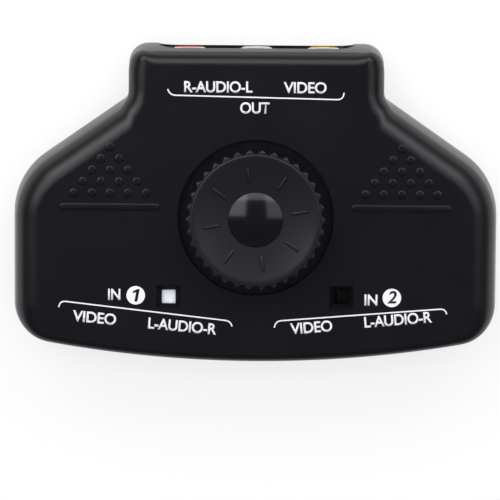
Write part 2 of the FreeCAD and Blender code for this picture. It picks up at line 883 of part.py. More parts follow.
# Top shell
well_plug = cylinder("well_plug", well_radius + size["well_side_wall"], well_underside,
                     top_level, y=dial_y)
hub_radius = size["spindle_radius"] + size["spindle_gap"]
hub = cylinder("hub", hub_radius + size["hub_wall"], hub_bottom, top_level, y=dial_y)
upper_bosses = []
pilot_holes = []
for x, y in CASE_SCREWS:
    upper_bosses.append(cylinder("upper_boss", size["case_boss_radius"],
                                 case_boss_level + size["part_gap"], top_level, x, y))
    pilot_holes.append(cylinder("pilot_hole", size["case_shank_radius"] + size["part_gap"] / 2,
                                case_boss_level, case_screw_top + 1, x, y))
stop_pegs = []
for angle in (stop_rest - peg_turn, stop_rest + size["turn"] + peg_turn):
    x, y = around_dial(size["stop_peg_circle"], angle)
    stop_pegs.append(cylinder("stop_peg", size["stop_peg_radius"], stop_bottom, top_level, x, y))
spring_y = dial_y + nose_circle
spring_posts = []
for side in (-1, 1):
    middle_x = post_x * side
    middle_y = spring_y + size["spring_thickness"] / 2
    spring_posts.append(box(
        "spring_post",
        (middle_x - size["spring_post_width"] / 2, middle_y - size["spring_post_depth"] / 2,
         spring_bottom - size["spring_post_below"]),
        (middle_x + size["spring_post_width"] / 2, middle_y + size["spring_post_depth"] / 2,
         top_level),
    ))
spring_slot = box(
    "spring_slot",
    (-size["spring_length"], spring_y - size["part_gap"], spring_bottom - 1),
    (size["spring_length"], spring_y + size["spring_thickness"] + size["part_gap"],
     spring_top + size["part_gap"]),
)
upper_inside = cut("upper_inside", upper_cavity, well_plug, hub, *pocket_walls, *upper_bosses,
                   *stop_pegs, *spring_posts)


def square_outline(half, x, y):
    corners = [(x - half, y - half, None), (x + half, y - half, None),
               (x + half, y + half, None), (x - half, y + half, None)]
    return corners, {}


windows = []
window_radius = flag_reach - size["flag_beyond_window"]
for side in (-1, 1):
    x = window_radius * sine(size["window_angle"]) * side
    y = dial_y - window_radius * cosine(size["window_angle"])
    inner = square_outline(size["window_inner"] / 2, x, y)
    outer = square_outline(size["window_outer"] / 2, x, y)
    land = ceiling_level + size["window_land"]
    windows.append(leaning_solid("window_hole", ceiling_level - 1, land, inner, inner))
    windows.append(leaning_solid("window_funnel", land, top_level, inner, outer))
well_space = cylinder("well_space", well_radius, well_level, top_level + 1, y=dial_y)
hub_bore = cylinder("hub_bore", hub_radius, hub_bottom - 1, top_level, y=dial_y)
bars = []
bar_inner = well_radius + size["bar_well_gap"]
bar_outer = half_width - size["bar_side_gap"]
for side in (-1, 1):
    half = (bar_outer - bar_inner) / 2
    across = size["bar_width"] / 2
    end_round = across - size["bar_end_flat"] / 2
    middle = (bar_outer + bar_inner) / 2 * side
    corners = [(middle - half, size["bar_y"] - across, end_round),
               (middle + half, size["bar_y"] - across, end_round),
               (middle + half, size["bar_y"] + across, end_round),
               (middle - half, size["bar_y"] + across, end_round)]
    bars.append(padded("raised_bar", corners, size["wall"] / 2 + size["bar_height"],
                       start=top_level - size["wall"] / 2))
upper_plain = cut("upper_plain", upper_solid, upper_inside)
upper_marked = fuse("upper_marked", upper_plain, *bars)
top_shell = cut("top_shell_form", upper_marked, rebate_ring, well_space, hub_bore, spring_slot,
                *pocket_cuts, *pilot_holes, *windows)
keep("top_shell", top_shell)

# Bottom shell
lower_bosses = []
lower_holes = []
for x, y in CASE_SCREWS:
    lower_bosses.append(cylinder("lower_boss", size["case_boss_radius"], base_level, case_boss_level,
                                 x, y))
    lower_holes.append(cylinder("head_hole", size["case_head_radius"] + size["screw_hole_gap"],
                                base_level - 1, case_head_level, x, y))
    lower_holes.append(cylinder("shank_hole", size["case_shank_radius"] + size["screw_hole_gap"],
                                base_level, case_boss_level + 1, x, y))
for x, y in BOARD_SCREWS:
    lower_bosses.append(cylinder("standoff", size["standoff_radius"], base_level, board_bottom, x, y))
    lower_holes.append(cylinder("standoff_hole", size["board_shank_radius"] + size["part_gap"] / 2,
                                board_top - size["board_screw_length"] - size["pilot_hole_spare"],
                                board_bottom + 1, x, y))
pivot_boss_top = board_bottom - size["pivot_boss_gap"]
pivot_bottom = pivot_boss_top - size["pivot_depth"]
lower_bosses.append(cylinder("pivot_boss", size["pivot_boss_radius"], base_level, pivot_boss_top,
                             y=dial_y))
lower_holes.append(cylinder("pivot_hole", size["pivot_radius"] + size["spindle_gap"],
                            pivot_bottom - size["axial_play"], pivot_boss_top + 1, y=dial_y))
for x, y in FEET:
    lower_holes.append(cylinder("foot_seat", size["foot_radius"] + size["part_gap"],
                                base_level - 1, base_level + size["foot_recess"], x, y))
band_y = half_depth - size["band_from_back"]
band = box(
    "band",
    (-size["band_length"] / 2, band_y - size["band_width"] / 2, base_level - 1),
    (size["band_length"] / 2, band_y + size["band_width"] / 2, base_level + size["band_depth"]),
)
lower_inside = cut("lower_inside", lower_cavity, *pocket_walls, *lower_bosses)
lower_plain = cut("lower_plain", lower_solid, lower_inside)
lower_lipped = fuse("lower_lipped", lower_plain, lip_ring)
bottom_shell = cut("bottom_shell_form", lower_lipped, band, *pocket_cuts, *lower_holes)
keep("bottom_shell", bottom_shell)

# Jacks: each is a coloured insulating body with a nickel barrel and a spring contact
housing_front = pocket_reach + size["part_gap"]
housing_back = housing_front + size["housing_length"]
housing_half = size["housing_width"] / 2
barrel_inner = size["barrel_radius"] - size["barrel_wall"]
barrel_tail = size["barrel_radius"] - size["barrel_step"]
barrel_end = housing_front + size["barrel_root"]
leaf_outer = size["contact_spread"] / 2
chamber_half_height = leaf_outer + size["contact_gap"]
chamber_half_width = size["contact_width"] / 2 + size["contact_gap"]
contact_end = size["socket_length"] + size["contact_gap"] + size["contact_length"]
chamber_end = contact_end + size["contact_gap"]
leg_front = contact_end - size["contact_thickness"]
leg_foot = -size["board_below_axis"] - size["board_thickness"] - size["leg_below_board"]
tab_front = barrel_end - size["tab_thickness"]
tab_middle = barrel_end - size["tab_thickness"] / 2
leg_middle = contact_end - size["contact_thickness"] / 2


def jack_body(name):
    block = box(f"{name}_block", (-housing_half, housing_front, -size["board_below_axis"]),
                (housing_half, housing_back, size["housing_top"]))
    channel = lying_cylinder(f"{name}_channel", barrel_tail + size["part_gap"] / 2,
                             housing_front - 1, barrel_end + size["part_gap"])
    tab_slot = box(f"{name}_tab_slot",
                   (-size["tab_width"] / 2 - size["contact_gap"], tab_front - size["contact_gap"],
                    -size["board_below_axis"] - 1),
                   (size["tab_width"] / 2 + size["contact_gap"], barrel_end + size["part_gap"], 0))
    nose = lying_cylinder(f"{name}_nose", barrel_inner - size["part_gap"] / 2,
                          -size["insert_proud"], barrel_end + 1)
    socket = lying_cylinder(f"{name}_socket", size["socket_radius"], -size["insert_proud"] - 1,
                            size["socket_length"] + 1)
    chamber = box(f"{name}_chamber",
                  (-chamber_half_width, size["socket_length"], -chamber_half_height),
                  (chamber_half_width, chamber_end, chamber_half_height))
    leg_slot = box(f"{name}_leg_slot",
                   (-size["leg_width"] / 2 - size["contact_gap"], leg_front - size["contact_gap"],
                    -size["board_below_axis"] - 1),
                   (size["leg_width"] / 2 + size["contact_gap"], chamber_end, 0))
    hollow_block = cut(f"{name}_hollow_block", block, channel, tab_slot)
    solid_body = fuse(f"{name}_solid_body", hollow_block, nose)
    return cut(f"{name}_finished", solid_body, socket, chamber, leg_slot)


def jack_barrel(name):
    corners = [
        (barrel_inner, 0, None),
        (size["barrel_radius"], 0, size["barrel_rounding"]),
        (size["barrel_radius"], size["pocket_depth"], None),
        (barrel_tail, size["pocket_depth"], None),
        (barrel_tail, barrel_end, None),
        (barrel_inner, barrel_end, None),
    ]
    tube = revolved(f"{name}_tube", corners, role="XY_Plane")
    tab = box(f"{name}_tab", (-size["tab_width"] / 2, tab_front, leg_foot),
              (size["tab_width"] / 2, barrel_end, -(barrel_inner + barrel_tail) / 2))
    return fuse(f"{name}_finished", tube, tab)


def jack_contact(name):
    half_leaf = size["contact_width"] / 2
    front = size["socket_length"] + size["contact_gap"]
    thickness = size["contact_thickness"]
    outer = box(f"{name}_outer", (-half_leaf, front, -leaf_outer), (half_leaf, contact_end, leaf_outer))
    inner = box(f"{name}_inner", (-half_leaf - 1, front - 1, thickness - leaf_outer),
                (half_leaf + 1, leg_front, leaf_outer - thickness))
    leg = box(f"{name}_leg", (-size["leg_width"] / 2, leg_front, leg_foot),
              (size["leg_width"] / 2, contact_end, -leaf_outer + thickness))
    return fuse(f"{name}_finished", cut(f"{name}_spring", outer, inner), leg)


jack_spots = []
for row_name, row in ROWS.items():
    for step, jack in zip(SIDE_STEPS, row["jacks"]):
        along = row["pitch"] * step
        x = row["x"] + along * cosine(row["turn"])
        y = row["y"] + along * sine(row["turn"])
        jack_spots.append((x, y, row["turn"]))
        for kind, make in (("body", jack_body), ("barrel", jack_barrel), ("contact", jack_contact)):
            node = f"{row_name}_{jack}_{kind}"
            keep(node, place(make(f"make_{node}"), x, y, jack_level, row["turn"]))

# Circuit board
edge_reach = pocket_reach + size["board_edge_gap"]


def front_edge_y(x):
    """Where the board's front edge runs, along the back of a front pocket."""
    angle = size["front_row_angle"]
    return front_row_y + (edge_reach + (x - front_row_offset) * sine(angle)) / cosine(angle)


board_back = back_row_y - edge_reach
board_corners = [
    (as_size(0), front_edge_y(as_size(0)), None),
    (board_half, front_edge_y(board_half), None),
    (board_half, size["board_step"], None),
    (board_neck_half, size["board_step"], None),
    (board_neck_half, board_back, None),
    (-board_neck_half, board_back, None),
    (-board_neck_half, size["board_step"], None),
    (-board_half, size["board_step"], None),
    (-board_half, front_edge_y(board_half), None),
]
board_sheet = padded("board_sheet", board_corners, size["board_thickness"], start=board_bottom)
board_holes = [cylinder("board_pivot_hole", size["board_pivot_hole"], board_bottom - 1, board_top + 1,
                        y=dial_y)]
for x, y in BOARD_SCREWS:
    board_holes.append(cylinder("board_screw_hole", size["board_shank_radius"] + size["screw_hole_gap"],
                                board_bottom - 1, board_top + 1, x, y))
for x, y, turn in jack_spots:
    for reach in (tab_middle, leg_middle):
        board_holes.append(cylinder("leg_hole", size["board_hole_radius"], board_bottom - 1,
                                    board_top + 1, x - reach * sine(turn), y + reach * cosine(turn)))
keep("circuit_board", cut("circuit_board_form", board_sheet, *board_holes))

# Switch pads: three long common pads inside, and an input pad at each end of the travel outside
pad_top = board_top + size["pad_thickness"]
half_pad = size["pad_width"] / 2
inner_pad_middle = size["wiper_inner"] + size["wiper_foot"] / 2
outer_foot = size["disc_radius"] - size["wiper_edge_gap"]
outer_pad_middle = outer_foot - size["wiper_foot"] / 2
WIPERS = {"video": 30, "left": 150, "right": 270}
pads = []
for start in WIPERS.values():
    begin = start - size["pad_overlap"]
    pads.append(sector("common_pad", inner_pad_middle - half_pad, inner_pad_middle + half_pad,
                       board_top, pad_top, begin, size["turn"] + size["pad_overlap"] * 2))
    for angle in (begin, begin + size["turn"]):
        pads.append(sector("input_pad", outer_pad_middle - half_pad, outer_pad_middle + half_pad,
                           board_top, pad_top, angle, size["pad_overlap"] * 2))
keep("switch_pads", place(group("switch_pads_form", *pads), y=dial_y))

# Rotor: spindle, shoulder and disc in one piece, with two notches in the rim and a stop arm
zero = as_size(0)
rotor_corners = [
    (zero, pivot_bottom, None),
    (size["pivot_radius"], pivot_bottom, None),
    (size["pivot_radius"], board_top + size["axial_play"], None),
    (size["rotor_neck_radius"], board_top + size["axial_play"], None),
    (size["rotor_neck_radius"], disc_bottom, None),
    (size["disc_radius"], disc_bottom, None),
    (size["disc_radius"], disc_top, None),
    (size["shoulder_spindle_radius"], disc_top, None),
    (size["shoulder_spindle_radius"], flag_level, None),
    (size["spindle_radius"], flag_level, None),
    (size["spindle_radius"], spindle_top, None),
    (zero, spindle_top, None),
]
rotor_turned = revolved("rotor_turned", rotor_corners)
stop_arm = centred_bar("stop_arm", zero, size["stop_reach"], size["stop_width"], stop_bottom, stop_top,
                       stop_rest)
rotor_cuts = [cylinder("rotor_pilot", size["knob_screw_radius"] + size["part_gap"] / 2,
                       knob_screw_bottom - size["pilot_hole_spare"], spindle_top + 1)]
for angle in (as_size(STRAIGHT_BACK), STRAIGHT_BACK - size["turn"]):
    rotor_cuts.append(cylinder("detent_notch", size["notch_radius"], disc_bottom - 1,
                               disc_top + size["stop_above_disc"] / 2,
                               nose_circle * cosine(angle), nose_circle * sine(angle)))
rotor_cuts.append(box(
    "spindle_flat_cut",
    (size["spindle_flat"], -size["spindle_radius"] * 2, spindle_top - size["spindle_flat_length"]),
    (size["spindle_radius"] * 2, size["spindle_radius"] * 2, spindle_top + 1),
))
rotor = cut("rotor_form", fuse("rotor_solid", rotor_turned, stop_arm), *rotor_cuts)
keep("rotor", place(rotor, y=dial_y))

# Wipers: bronze strips under the disc, each with a foot on a common pad and a foot on an input pad
foot_level = pad_top + size["wiper_clearance"]
inner_foot = size["wiper_inner"]
slope_run = size["wiper_slope"]
strip = size["wiper_thickness"]
wiper_corners = [
    (inner_foot, foot_level, None),
    (inner_foot + size["wiper_foot"], foot_level, None),
    (inner_foot + slope_run + strip, disc_bottom - strip, None),
    (outer_foot - slope_run - strip, disc_bottom - strip, None),
    (outer_foot - size["wiper_foot"], foot_level, None),
    (outer_foot, foot_level, None),
    (outer_foot - slope_run + strip / 2, disc_bottom, None),
    (inner_foot + slope_run - strip / 2, disc_bottom, None),
]
for signal, start in WIPERS.items():
    wiper = padded(f"make_wiper_{signal}", wiper_corners, size["wiper_width"], role="XZ_Plane",
                   start=-size["wiper_width"] / 2)
    keep(f"wiper_{signal}", place(wiper, y=dial_y, turn=start))

# Detent spring: a flat leaf with a rounded nose that drops into the rotor's notches
leaf = box("spring_leaf", (-size["spring_length"] / 2, nose_circle, spring_bottom),
           (size["spring_length"] / 2, nose_circle + size["spring_thickness"], spring_top))
nose_outer = cylinder("spring_nose", nose_radius, spring_bottom, spring_top, y=nose_circle)
nose_inner = cylinder("spring_nose_inside", nose_radius - size["spring_thickness"], spring_bottom - 1,
                      spring_top + 1, y=nose_circle)
behind = box("spring_behind",
             (-size["spring_length"], nose_circle + size["spring_thickness"], spring_bottom - 1),
             (size["spring_length"], nose_circle + size["notch_radius"] * 2, spring_top + 1))
detent_spring = cut("detent_spring_form", fuse("spring_solid", leaf, nose_outer), nose_inner, behind)
keep("detent_spring", place(detent_spring, y=dial_y))

# Indicator flag: a ring on the spindle and an arm that steps up over the jack pockets
thick = size["flag_thickness"]
arm_level = well_underside - size["flag_below_well"]
ring_edge = size["flag_ring_radius"]
climb_start = ring_edge + size["flag_root_run"]
climb_end = size["disc_radius"] + size["flag_disc_gap"]
step_start = well_radius + size["well_side_wall"] + size["flag_well_gap"]
step_end = step_start + size["flag_step_run"]
arm_corners = [
    (ring_edge - 1, flag_level, None),
    (climb_start, flag_level, None),
    (climb_end, arm_level, None),
    (step_start, arm_level, None),
    (step_end, flag_tip_level, None),
    (flag_reach, flag_tip_level, None),
    (flag_reach, flag_tip_level + thick, None),
    (step_end - thick / 2, flag_tip_level + thick, None),
    (step_start - thick / 2, arm_level + thick, None),
    (climb_end - thick / 2, arm_level + thick, None),
    (climb_start - thick / 2, flag_level + thick, None),
    (ring_edge - 1, flag_level + thick, None),
]
flag_arm = revolved("flag_arm", arm_corners, angle=flag_sweep)
flag_start = STRAIGHT_FRONT - size["turn"] / 2 - flag_sweep / 2
place(flag_arm, turn=flag_start)
flag_ring = cylinder("flag_ring", size["flag_ring_radius"], flag_level,
                     flag_level + size["flag_ring_height"])
flag_eye = cylinder("flag_eye", size["spindle_radius"] + size["spindle_gap"] / 2, flag_level - 1,
                    flag_level + size["flag_ring_height"] + 1)
flag = cut("flag_form", fuse("flag_solid", flag_arm, flag_ring), flag_eye)
keep("indicator_flag", place(flag, y=dial_y))

# Knob: dished face, toothed skirt, boss on the spindle's flat, and raised ticks
lean = size["knob_lean"]
boss_radius = size["spindle_radius"] + size["boss_wall"]
recess_radius = size["cap_radius"] + size["cap_gap"]
head_radius = size["knob_screw_head_radius"] + size["screw_hole_gap"]
screw_way = size["knob_screw_radius"] + size["screw_hole_gap"]
skirt_inner = size["knob_radius"] - size["knob_wall"]
land_inner = rim_radius - size["rim_land"]
knob_corners = [
    (zero, knob_bottom, None),
    (boss_radius, knob_bottom, None),
    (boss_radius, web_underside, None),
    (skirt_inner, rim_foot - size["knob_wall"], None),
    (skirt_inner, knob_bottom, None),
    (size["knob_radius"], knob_bottom, None),
    (size["knob_radius"] - lean, rim_foot, size["tooth_rounding"]),
    (rim_radius, rim_foot, None),
    (rim_radius, dish_high, None),
    (land_inner, dish_high, None),
    (recess_radius, dish_low, None),
    (recess_radius, cap_seat_level, None),
    (head_radius, cap_seat_level, None),
    (head_radius, knob_head_level, None),
    (screw_way, knob_head_level, None),
    (screw_way, web_underside, None),
    (zero, web_underside, None),
]
knob_body = revolved("knob_turned", knob_corners)
groove_sketch = new_sketch(knob_body, "tooth_groove_outline", height=rim_foot + 1)
groove_centre = size["knob_radius"] + size["tooth_groove_radius"] - size["tooth_depth"]
groove_circle = Part.Circle(FreeCAD.Vector(groove_centre.value, 0, 0), FreeCAD.Vector(0, 0, 1),
                            size["tooth_groove_radius"].value)
groove_sketch.addGeometry(groove_circle, False)
groove_sketch.addConstraint([
    Sketcher.Constraint("PointOnObject", 0, 3, -1),
    Sketcher.Constraint("DistanceX", -1, 1, 0, 3, groove_centre.value),
    Sketcher.Constraint("Radius", 0, size["tooth_groove_radius"].value),
])
groove_sketch.renameConstraint(1, "reach")
groove_sketch.renameConstraint(2, "radius")
bind(groove_sketch, "Constraints.reach", groove_centre)
bind(groove_sketch, "Constraints.radius", size["tooth_groove_radius"])
groove = knob_body.newObject("PartDesign::Pocket", "tooth_groove")
groove.Profile = groove_sketch
bind(groove, "Length", rim_foot - knob_bottom + 2)
grooves = knob_body.newObject("PartDesign::PolarPattern", "tooth_grooves")
grooves.Originals = [groove]
grooves.Axis = (groove_sketch, ["N_Axis"])
grooves.Angle = 360
bind(grooves, "Occurrences", size["tooth_count"])
knob_body.Tip = grooves
document.recompute()

dish_slope = size["dish_depth"] / (land_inner - recess_radius)


def dish_level(radius):
    return dish_low + (radius - recess_radius) * dish_slope


tick_corners = [
    (size["tick_inner"], dish_level(size["tick_inner"]) - size["tick_height"], None),
    (size["tick_outer"], dish_level(size["tick_outer"]) - size["tick_height"], None),
    (size["tick_outer"], dish_level(size["tick_outer"]) + size["tick_height"], None),
    (size["tick_inner"], dish_level(size["tick_inner"]) + size["tick_height"], None),
]
tick_band = revolved("tick_band", tick_corners)
TICK_BARS = 4
tick_bars = []
for step in range(TICK_BARS):
    turn = size["tick_turn"] + 180 / TICK_BARS * step
    tick_bars.append(centred_bar("tick_bar", -rim_radius, rim_radius,
                                 size["tick_width"], dish_low - 1, cap_top, turn))
ticks = common("ticks", tick_band, fuse("tick_star", *tick_bars))
spindle_bore = cylinder("spindle_bore", hub_radius, knob_bottom - 1, web_underside)
bore_flat = box(
    "bore_flat",
    (size["spindle_flat"] + size["spindle_gap"], -size["spindle_radius"] * 2,
     spindle_top - size["spindle_flat_length"] + size["part_gap"]),
    (size["spindle_radius"] * 2, size["spindle_radius"] * 2, web_underside + 1),
)
knob = fuse("knob_form", cut("knob_bored", knob_body, cut("bore_tool", spindle_bore, bore_flat)), ticks)
keep("knob", place(knob, y=dial_y))

# Knob cap: a glossy dome on a plug
dome_radius = (size["cap_radius"] * size["cap_radius"] + size["cap_dome"] * size["cap_dome"]) / (
    size["cap_dome"] * 2)
cap_corners = [
    (zero, cap_seat_level, None),
    (size["cap_radius"], cap_seat_level, None),
    (size["cap_radius"], cap_edge, None),
    (zero, cap_top, None),
]
knob_cap = revolved("cap_form", cap_corners, arcs={2: dome_radius})
keep("knob_cap", place(knob_cap, y=dial_y))


def screw(name, head_radius, head_low, head_high, shank_radius, shank_low, shank_high, x=0, y=0):
    """A plain pan-headed screw, its thread left smooth."""
    head = cylinder(f"{name}_head", head_radius, head_low, head_high, x, y)
    shank = cylinder(f"{name}_shank", shank_radius, shank_low, shank_high, x, y)
    return fuse(name, head, shank)


keep("knob_screw", screw("knob_screw_form", size["knob_screw_head_radius"], knob_head_level,
                         knob_head_level + size["knob_screw_head_height"], size["knob_screw_radius"],
                         knob_screw_bottom, knob_head_level + size["part_gap"], y=dial_y))
case_head_bottom = base_level + size["case_head_recess"]
keep("case_screws", group("case_screws_form", *[
    screw("case_screw", size["case_head_radius"], case_head_bottom, case_head_level,
          size["case_shank_radius"], case_head_level - size["part_gap"], case_screw_top, x, y)
    for x, y in CASE_SCREWS
]))
keep("board_screws", group("board_screws_form", *[
    screw("board_screw", size["board_head_radius"], board_top, board_top + size["board_head_height"],
          size["board_shank_radius"], board_top - size["board_screw_length"],
          board_top + size["part_gap"], x, y)
    for x, y in BOARD_SCREWS
]))
keep("rubber_feet", group("rubber_feet_form", *[
    cylinder("rubber_foot", size["foot_radius"], 0, base_level + size["foot_recess"], x, y)
    for x, y in FEET
]))

document.recompute()
for feature in document.Objects:
    if "Invalid" in feature.State or "Error" in feature.State:
        raise RuntimeError(f"{feature.Name} failed: {feature.State}")
for node, feature in pieces.items():
    shape = feature.Shape
    if shape.isNull() or not shape.isValid():
        raise RuntimeError(f"{node} has no valid shape")
os.makedirs("parts", exist_ok=True)
for node, feature in pieces.items():
    feature.Shape.exportStep(f"parts/{node}.step")
    print(node, len(feature.Shape.Solids), round(feature.Shape.Volume, 2))
print(len(pieces), "nodes")
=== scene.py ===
import math

import bmesh
import bpy
import numpy as np
from mathutils import Matrix, Vector


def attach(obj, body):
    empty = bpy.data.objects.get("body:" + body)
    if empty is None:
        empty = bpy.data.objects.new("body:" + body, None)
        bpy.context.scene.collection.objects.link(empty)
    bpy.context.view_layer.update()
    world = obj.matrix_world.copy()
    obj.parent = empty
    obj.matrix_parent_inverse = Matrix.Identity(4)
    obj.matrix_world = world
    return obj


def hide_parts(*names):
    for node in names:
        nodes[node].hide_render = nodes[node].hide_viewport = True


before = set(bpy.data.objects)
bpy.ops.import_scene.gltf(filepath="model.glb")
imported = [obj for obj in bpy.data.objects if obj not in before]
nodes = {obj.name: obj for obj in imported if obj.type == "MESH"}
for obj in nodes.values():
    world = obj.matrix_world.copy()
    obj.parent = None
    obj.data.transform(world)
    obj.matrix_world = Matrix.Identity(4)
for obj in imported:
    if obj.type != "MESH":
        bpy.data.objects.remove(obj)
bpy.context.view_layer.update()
MM = 0.001

# Camera
# A long lens almost straight above the case, a little towards its back, as in the photograph.
LOOK_AT = Vector((-1.35, -11.8, 28.0)) * MM
LOOK_DISTANCE = 550 * MM
LOOK_TILT = math.radians(4.4)
LOOK_ROLL = math.radians(0.4)
LENS = 156
SENSOR = 36
camera_data = bpy.data.cameras.new("camera")
camera_data.sensor_width = SENSOR
camera_data.lens = LENS
camera = bpy.data.objects.new("camera", camera_data)
bpy.context.scene.collection.objects.link(camera)
away = Vector((0, math.sin(LOOK_TILT), math.cos(LOOK_TILT)))
tilt = Matrix.Rotation(-LOOK_TILT, 4, "X")
roll = Matrix.Rotation(LOOK_ROLL, 4, "Z")
camera.matrix_world = Matrix.Translation(LOOK_AT + away * LOOK_DISTANCE) @ tilt @ roll
bpy.context.scene.camera = camera

# Case: top_shell and bottom_shell
# Two injection moulded shells of black ABS, with the fine matt texture of a spark-eroded mould.
# They are screwed together from below and meet at half height, along the jacks' axes.
CASE_BLACK = (0.0035, 0.0032, 0.0058, 1)
CASE_BLACK_WORN = (0.0053, 0.0049, 0.0077, 1)
CASE_ROUGHNESS = 0.32
CASE_GRAIN = 0.30 * MM
CASE_GRAIN_DEPTH = 0.006 * MM
CLOUD_SIZE = 18 * MM
CLOUD_DETAIL = 3
CLOUD_GLOSS = 0.08
PIT_GLOSS = 0.10
CASE_SMOOTH_COSINE = math.cos(math.radians(32))
MERGE_DISTANCE = 0.001 * MM
# The frame's outside points: how near its wall and how far from the parting line they lie, in
# millimetres, and how much they face outwards
SKIN_TOLERANCE = 1.6
PARTING_BAND = 0.01
FACING_OUT = 0.1
TINY = 1e-9
# The outline, in millimetres, at the parting line
HALF_WIDTH = 62.5
HALF_DEPTH = 40.75
HALF_NECK = 32.8
FRONT_ARC_RADIUS = 305.0
FRONT_CORNER_RADIUS = 10.0
SHOULDER_START = 6.67
SHOULDER_ANGLE = math.radians(34.7)
SHOULDER_RADIUS = 18.5
NECK_ROOT_RADIUS = 2.5
BACK_CORNER_RADIUS = 5.0
# How much a corner's radius shrinks for each millimetre that its wall leans in
CORNER_TIGHTENING = 1 / 3
SHOULDER_TIGHTENING = 1 / 2
# A wide arc has more steps for each radian
WIDE_RADIUS = 50
STEPS_PER_RADIAN = 12
WIDE_STEPS_PER_RADIAN = 240
# Heights over the table
PARTING_LEVEL = 14.0
TOP_LEVEL = 28.0
# Which way each shell goes from the parting line, and how far
SHELLS = {"top_shell": (1, 14.0), "bottom_shell": (-1, 13.0)}
# How far each wall leans in by its end, and the radius there at the neck's roots, as framed and as
# real. The frame's walls are straight up to a plain rounding. The real ones start upright and lean
# in more and more.
FRAME_LEANS = {
    "top_shell": {"side": 4.2, "shoulder": 5.6, "neck": 1.9, "back": 2.1, "front": 1.0},
    "bottom_shell": {"side": 4.5, "shoulder": 5.5, "neck": 2.4, "back": 2.4, "front": 1.5},
}
FRAME_ROUNDING = 3.0
FRAME_ROOTS = {"top_shell": 8.0, "bottom_shell": 5.0}
REAL_LEANS = {
    "top_shell": {"side": 2.2, "shoulder": 3.5, "neck": 0.5, "back": 3.6, "front": 0.4},
    "bottom_shell": {"side": 4.5, "shoulder": 5.5, "neck": 2.4, "back": 0.9, "front": 1.5},
}
REAL_ROOTS = {"top_shell": 3.5, "bottom_shell": 5.0}
# The radius that is added over each real wall, from the front to the back
REAL_ROUNDINGS = {
    "top_shell": ((-40, -37, -28, 18, 28, 36, 40.7), (1.8, 1.8, 5.2, 4.9, 4.6, 4.6, 2.6)),
    "bottom_shell": ((-40, 40), (3.0, 3.0)),
}
# Heights over the parting line where the walls are cut, so that they can bend
WALL_CUTS = (1.2, 2.4, 3.6, 4.8, 6.0, 7.2, 8.4, 9.4, 10.2, 11.0, 11.7, 12.3, 12.8, 13.2)
BELLY = 1.6
# The back corners are too tight for the back wall's full curve, which narrows towards them
BACK_CORNER = ((25.5, 30.0), (0.0, 1.0))
CORNER_REACH = 4.8


class Signal:
    """One value in a node tree. Arithmetic on signals adds the tree's Math nodes."""

    def __init__(self, tree, socket):
        self.tree = tree
        self.socket = socket

    def math(self, operation, first, second):
        return self.tree.add("ShaderNodeMath", {"operation": operation}, {0: first, 1: second})

    def __add__(self, other):
        return self.math("ADD", self, other)

    def __radd__(self, other):
        return self.math("ADD", other, self)

    def __sub__(self, other):
        return self.math("SUBTRACT", self, other)

    def __rsub__(self, other):
        return self.math("SUBTRACT", other, self)

    def __mul__(self, other):
        return self.math("MULTIPLY", self, other)

    def __rmul__(self, other):
        return self.math("MULTIPLY", other, self)


class Tree:
    """The nodes of a material, of the world or of a Geometry Nodes modifier."""

    def __init__(self, node_tree):
        self.nodes = node_tree.nodes
        self.links = node_tree.links
        self.nodes.clear()

    def add(self, kind, settings=None, sockets=None, output=0):
        """Adds a node, sets it up, feeds its sockets and gives one of its outputs."""
        node = self.nodes.new(kind)
        for name, value in (settings or {}).items():
            if name == "stops":
                self.set_stops(node.color_ramp.elements, value)
            else:
                setattr(node, name, value)
        for name, value in (sockets or {}).items():
            if isinstance(value, Signal):
                self.links.new(value.socket, node.inputs[name])
            else:
                node.inputs[name].default_value = value
        if node.outputs:
            return Signal(self, node.outputs[output])

    def set_stops(self, elements, stops):
        while len(elements) < len(stops):
            elements.new(1)
        for element, (position, colour) in zip(elements, stops):
            element.position = position
            element.color = colour

    def blend(self, share, first, second):
        """A colour part of the way from the first to the second."""
        # Set to colours, a Mix node takes them at sockets 6 and 7 and gives one at output 2
        sockets = {0: share, 6: first, 7: second}
        return self.add("ShaderNodeMix", {"data_type": "RGBA"}, sockets, output=2)

    def noise(self, size, detail=2, vector=None):
        """Soft noise whose spots are about one size across."""
        if vector is None:
            vector = self.add("ShaderNodeTexCoord", output="Object")
        sockets = {"Vector": vector, "Scale": 1 / size, "Detail": detail}
        return self.add("ShaderNodeTexNoise", {}, sockets)

    def bump(self, height, depth):
        sockets = {"Height": height, "Distance": depth, "Strength": 1}
        return self.add("ShaderNodeBump", {}, sockets)

    def surface(self, sockets):
        skin = self.add("ShaderNodeBsdfPrincipled", {}, sockets)
        self.add("ShaderNodeOutputMaterial", {}, {"Surface": skin})


def new_material(name):
    material = bpy.data.materials.new(name)
    material.use_nodes = True
    return material, Tree(material.node_tree)


def moulded_plastic(name, colour, second_colour, roughness, grain, depth):
    """Moulded plastic, a little uneven in colour and gloss, with the fine texture of its mould."""
    material, tree = new_material(name)
    clouds = tree.noise(CLOUD_SIZE, CLOUD_DETAIL)
    pits = tree.noise(grain)
    tree.surface({
        "Base Color": tree.blend(clouds, colour, second_colour),
        "Roughness": roughness + (pits - 0.5) * PIT_GLOSS + (clouds - 0.5) * CLOUD_GLOSS,
        "Normal": tree.bump(pits, depth),
    })
    return material


def finish_node(name, material):
    """Gives a frame node its finish."""
    nodes[name].data.materials.clear()
    nodes[name].data.materials.append(material)


def plain_mesh(piece):
    """Turns what an object's modifiers or its curve make into a plain mesh, and gives it."""
    bpy.context.view_layer.update()
    graph = bpy.context.evaluated_depsgraph_get()
    return bpy.data.meshes.new_from_object(piece.evaluated_get(graph))


def stand_in(name, mesh, material, body, node):
    """Shows a mesh in place of a frame node."""
    mesh.materials.clear()
    mesh.materials.append(material)
    piece = bpy.data.objects.new(name, mesh)
    bpy.context.scene.collection.objects.link(piece)
    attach(piece, body)
    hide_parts(node)


